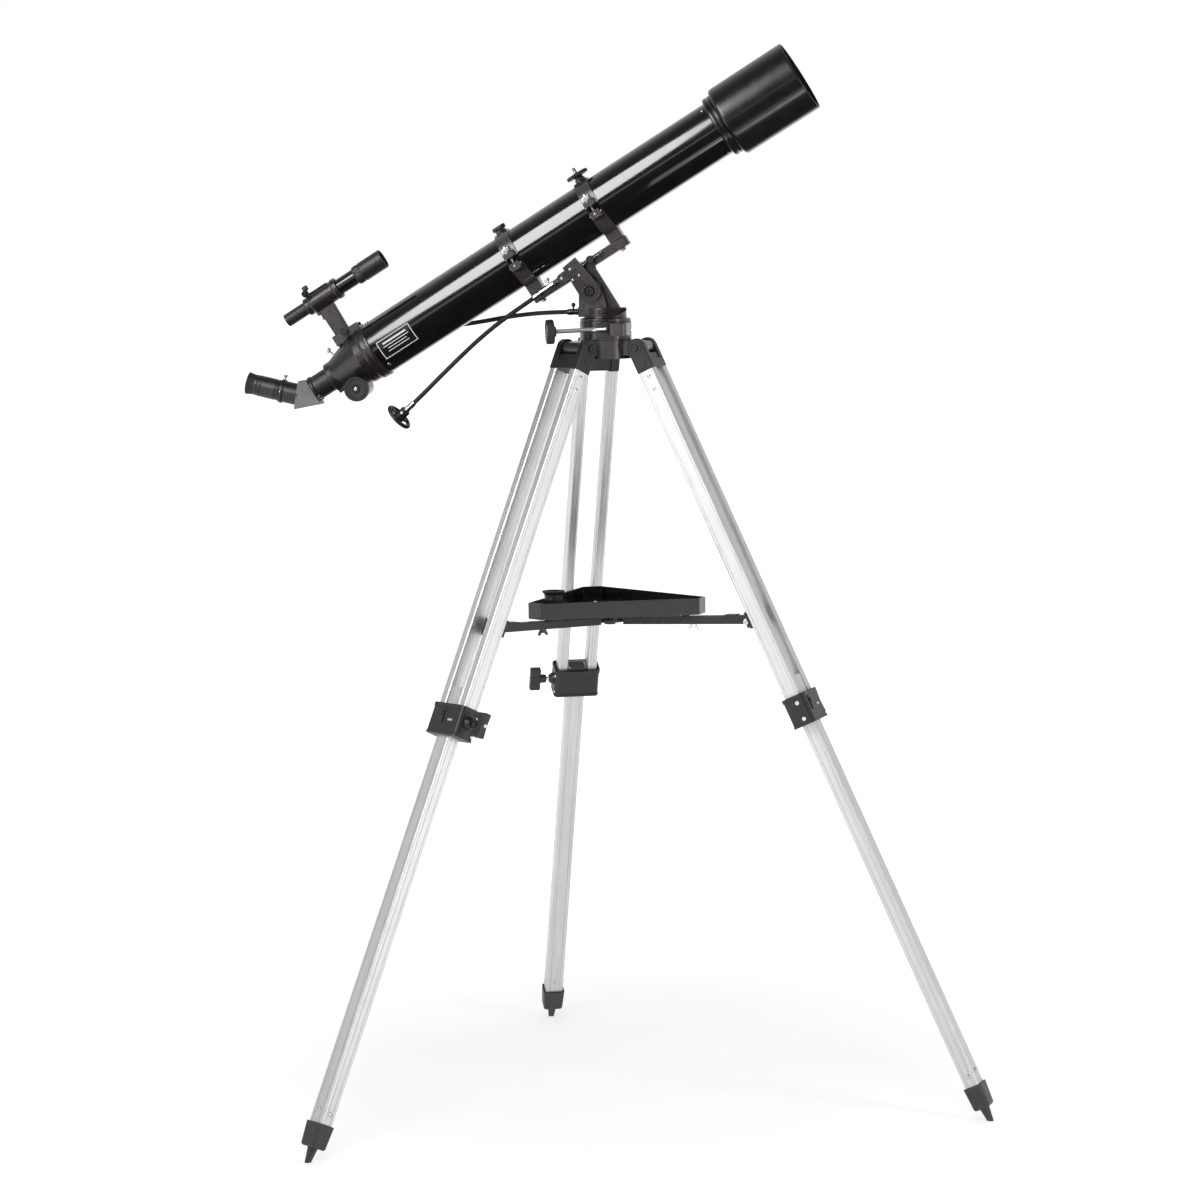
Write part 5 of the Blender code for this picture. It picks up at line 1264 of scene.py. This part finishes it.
def eye_end():
    """Prism diagonal with its plates and socket, and the eyepiece."""
    wedge = [(-472.6, -27), (-472.6, 19.5), (-484, 24.5), (-515, -10.5)]
    body = moved(prism(soften(wedge, 1.6, 3, True), -17.5, 17.5), UPRIGHT)
    piece("prism_housing", body, "star_diagonal", HOUSING_GREY, OTA, 0.9, replaces="star_diagonal")
    sides = []
    inner = [(-476.5, -19), (-476.5, 15.5), (-484, 18.8), (-508, -9)]
    for low, high in ((-18.0, -17.2), (17.2, 18.0)):
        sides.append(moved(prism(soften(inner, 2.0, 3, True), low, high), UPRIGHT))
    piece("prism_side_plates", merged(*sides), "star_diagonal", HOUSING_GREY, OTA, 0.25)
    plate = along(turned([(0, -473.4), (17.4, -473.4), (17.4, -472.3), (0, -472.3)], 0.3, 72))
    piece("prism_front_plate", plate, "star_diagonal", ANODISED, OTA)
    nose = along(lathe([(0, -474), (15.8, -474), (15.8, -451.6), (15.2, -451), (14, -451), (14, -468),
                        (0, -468)], 72))
    piece("diagonal_nose", nose, "star_diagonal", CHROME, OTA)
    socket = ring([(16.15, 4), (16.15, 29), (17.2, 30), (18.6, 30), (19.4, 29.2), (19.4, 24.2),
                   (18.6, 23.2), (17.6, 22.6), (17.6, -2.6), (16.15, -3)], 0.3, 96)
    piece("diagonal_socket", merged(socket, rod(17.2, -2.6, 4, 96)), "star_diagonal",
          ANODISED, EYE)
    clampers = [(thumb_screw(3.4, 5.2, (1.4, 4.5), 12), facing((22.6, 0, 26.6), FRONT)),
                (screw(1.4, 1.0), facing((0, -19.2, 26.6), NEAR))]
    set_of("socket_thumb_screw", clampers, "star_diagonal", STEEL, EYE)
    shell = [(0, 9), (15.3, 9), (15.8, 9.6), (15.8, 29.8), (16.8, 30.3), (17.2, 31), (17.2, 34),
             (16.4, 35), (16.4, 36.4), (17.2, 37.2), (17.2, 60), (16.5, 60.6), (16.5, 62), (17.2, 62.6),
             (17.2, 66), (16.5, 66.6), (16.5, 68), (17.0, 68.8), (16.6, 72), (0, 72)]
    piece("eyepiece_shell", lathe(shell, 160), "eyepiece", ANODISED, EYE, crisp=35, replaces="eyepiece")
    cup = [(10.6, 71), (16.0, 71), (16.4, 72), (16.6, 77), (17.4, 81), (18, 84), (18, 85.4), (17.2, 85.5),
           (12.4, 84.6), (10.6, 81)]
    piece("eye_cup", ring(cup, 0.7, 96), "eyepiece", RUBBER, EYE)
    lens = [(0, 76)] + [(11 * math.sin(t), 78.6 - 1.6 * (1 - math.cos(t * 0.9)))
                        for t in (0.3, 0.6, 0.9, 1.2, 1.57)][::-1] + [(0, 78.6)]
    piece("eye_lens", lathe(lens, 64), "eyepiece", GLASS, EYE, crisp=60)


def finder():
    """Finder holder with its screws, and the finder telescope."""
    place = OTA @ shift(*FINDER)
    barrel = [(12.4, -31), (14.4, -31), (14.8, -30), (14.8, -22.4), (16.2, -20.6), (16.6, -19.6),
              (16.6, 22.4), (17.8, 24), (17.8, 31), (17, 31.6), (15, 31.6), (15, -19), (12.4, -22)]
    stalk = soften([(-15, -67), (10, -67), (11.5, -13), (-16.5, -13)], 1.2, 2, True)
    stalk = moved(prism(stalk, -4.5, 4.5), UPRIGHT)
    web = moved(prism(soften([(-13, -64), (8, -64), (9, -17), (-14, -17)], 2, 2, True), -5.6, 5.6), UPRIGHT)
    base = [(-10.6, -70.7), (10.6, -70.7), (8.6, -63.6), (-8.6, -63.6)]
    base = moved(prism(base, -18, 22), ACROSS)
    ribs = [block((-14, 18), (-2 + y, 2 + y), (15.6, 17.4)) for y in (-5.5, 5.5)]
    solids = [along(ring(barrel, 0.7, 96)), stalk, web, base] + ribs
    for angle in FINDER_SCREWS:
        lug = turned([(0, 12), (5.0, 12), (4.4, 18.4), (0, 18.4)], 0.6, 32)
        solids.append(moved(lug, shift(-18, 0, 0) @ spin(angle, "X")))
    solids.append(moved(turned([(0, 12), (5.4, 12), (5.0, 21.5), (0, 21.5)], 0.6, 32),
                        shift(-18, 0, 0) @ spin(180, "X")))
    piece("finder_holder", merged(*solids), "finder_bracket", HAMMERED, place, 0.6,
          replaces="finder_bracket")
    knobs = []
    for angle in FINDER_SCREWS:
        knobs.append((thumb_screw(5.0, 7.4, (1.7, 14), 16),
                      shift(-18, 0, 0) @ spin(angle, "X") @ shift(0, 0, 24.5)))
    set_of("finder_thumb_screws", knobs, "finder_bracket", BLACK_PLASTIC, place)
    items = [(turned([(0, 20), (2.6, 20), (2.6, 29), (1.6, 31), (0, 31)], 0.3, 28),
              shift(-18, 0, 0) @ spin(180, "X"))]
    items += [(rod(1.6, 14, 25, 20), shift(-18, 0, 0) @ spin(angle, "X")) for angle in FINDER_SCREWS]
    set_of("finder_plunger", items, "finder_bracket", STEEL, place)
    eye = [(0, -65), (7, -65), (8.5, -71), (10.4, -71), (10.8, -70.4), (10.8, -69), (10.5, -68.4),
           (10.5, -67.6), (10.8, -67), (10.8, -22.6), (11.6, -21), (12.9, -17.4), (0, -17.4)]
    piece("finder_eye_end", along(lathe(eye, 128)), "finder_tube", ANODISED, place, crisp=35)
    middle = lathe([(0, -17.6), (12.9, -17.6), (13, -17.2), (13, 64.8), (0, 64.8)], 128)
    piece("finder_shell", along(middle), "finder_tube", ENAMEL, place, crisp=35, replaces="finder_tube")
    grip = ribbed(15.4, 48, 0.5)
    front = [(0, 64.2), (13.2, 64.2), (14.6, 65.2), (grip, 66.4), (grip, 74.6), (14.9, 75.6),
             (15.2, 76.6), (16, 78), (16, 117.8), (15.4, 118.5), (14.5, 118.5), (14.1, 117.6), (14, 105),
             (0, 105)]
    piece("finder_objective_cell", along(lathe(front, 192)), "finder_tube", ANODISED, place, crisp=35)
    glass = [(0, 104), (14, 104), (14, 105.4)] + [(14 * math.cos(t),
                                                   105.4 + 1.3 * math.sin(t))
                                                  for t in (0.4, 0.8, 1.2)] + [(0, 106.8)]
    eye = [(0, -64), (8.6, -65.6), (8.2, -67.4), (5, -68.4), (0, -68.8)]
    piece("finder_glass", along(merged(lathe(glass, 64), lathe(eye, 48))), "finder_tube", GLASS, place,
          crisp=60)


def build():
    """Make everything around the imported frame."""
    camera()
    stage()
    tripod_centre()
    tripod_legs()
    mount()
    cables()
    tube()
    rings()
    focuser()
    eye_end()
    finder()


build()
bpy.context.view_layer.update()
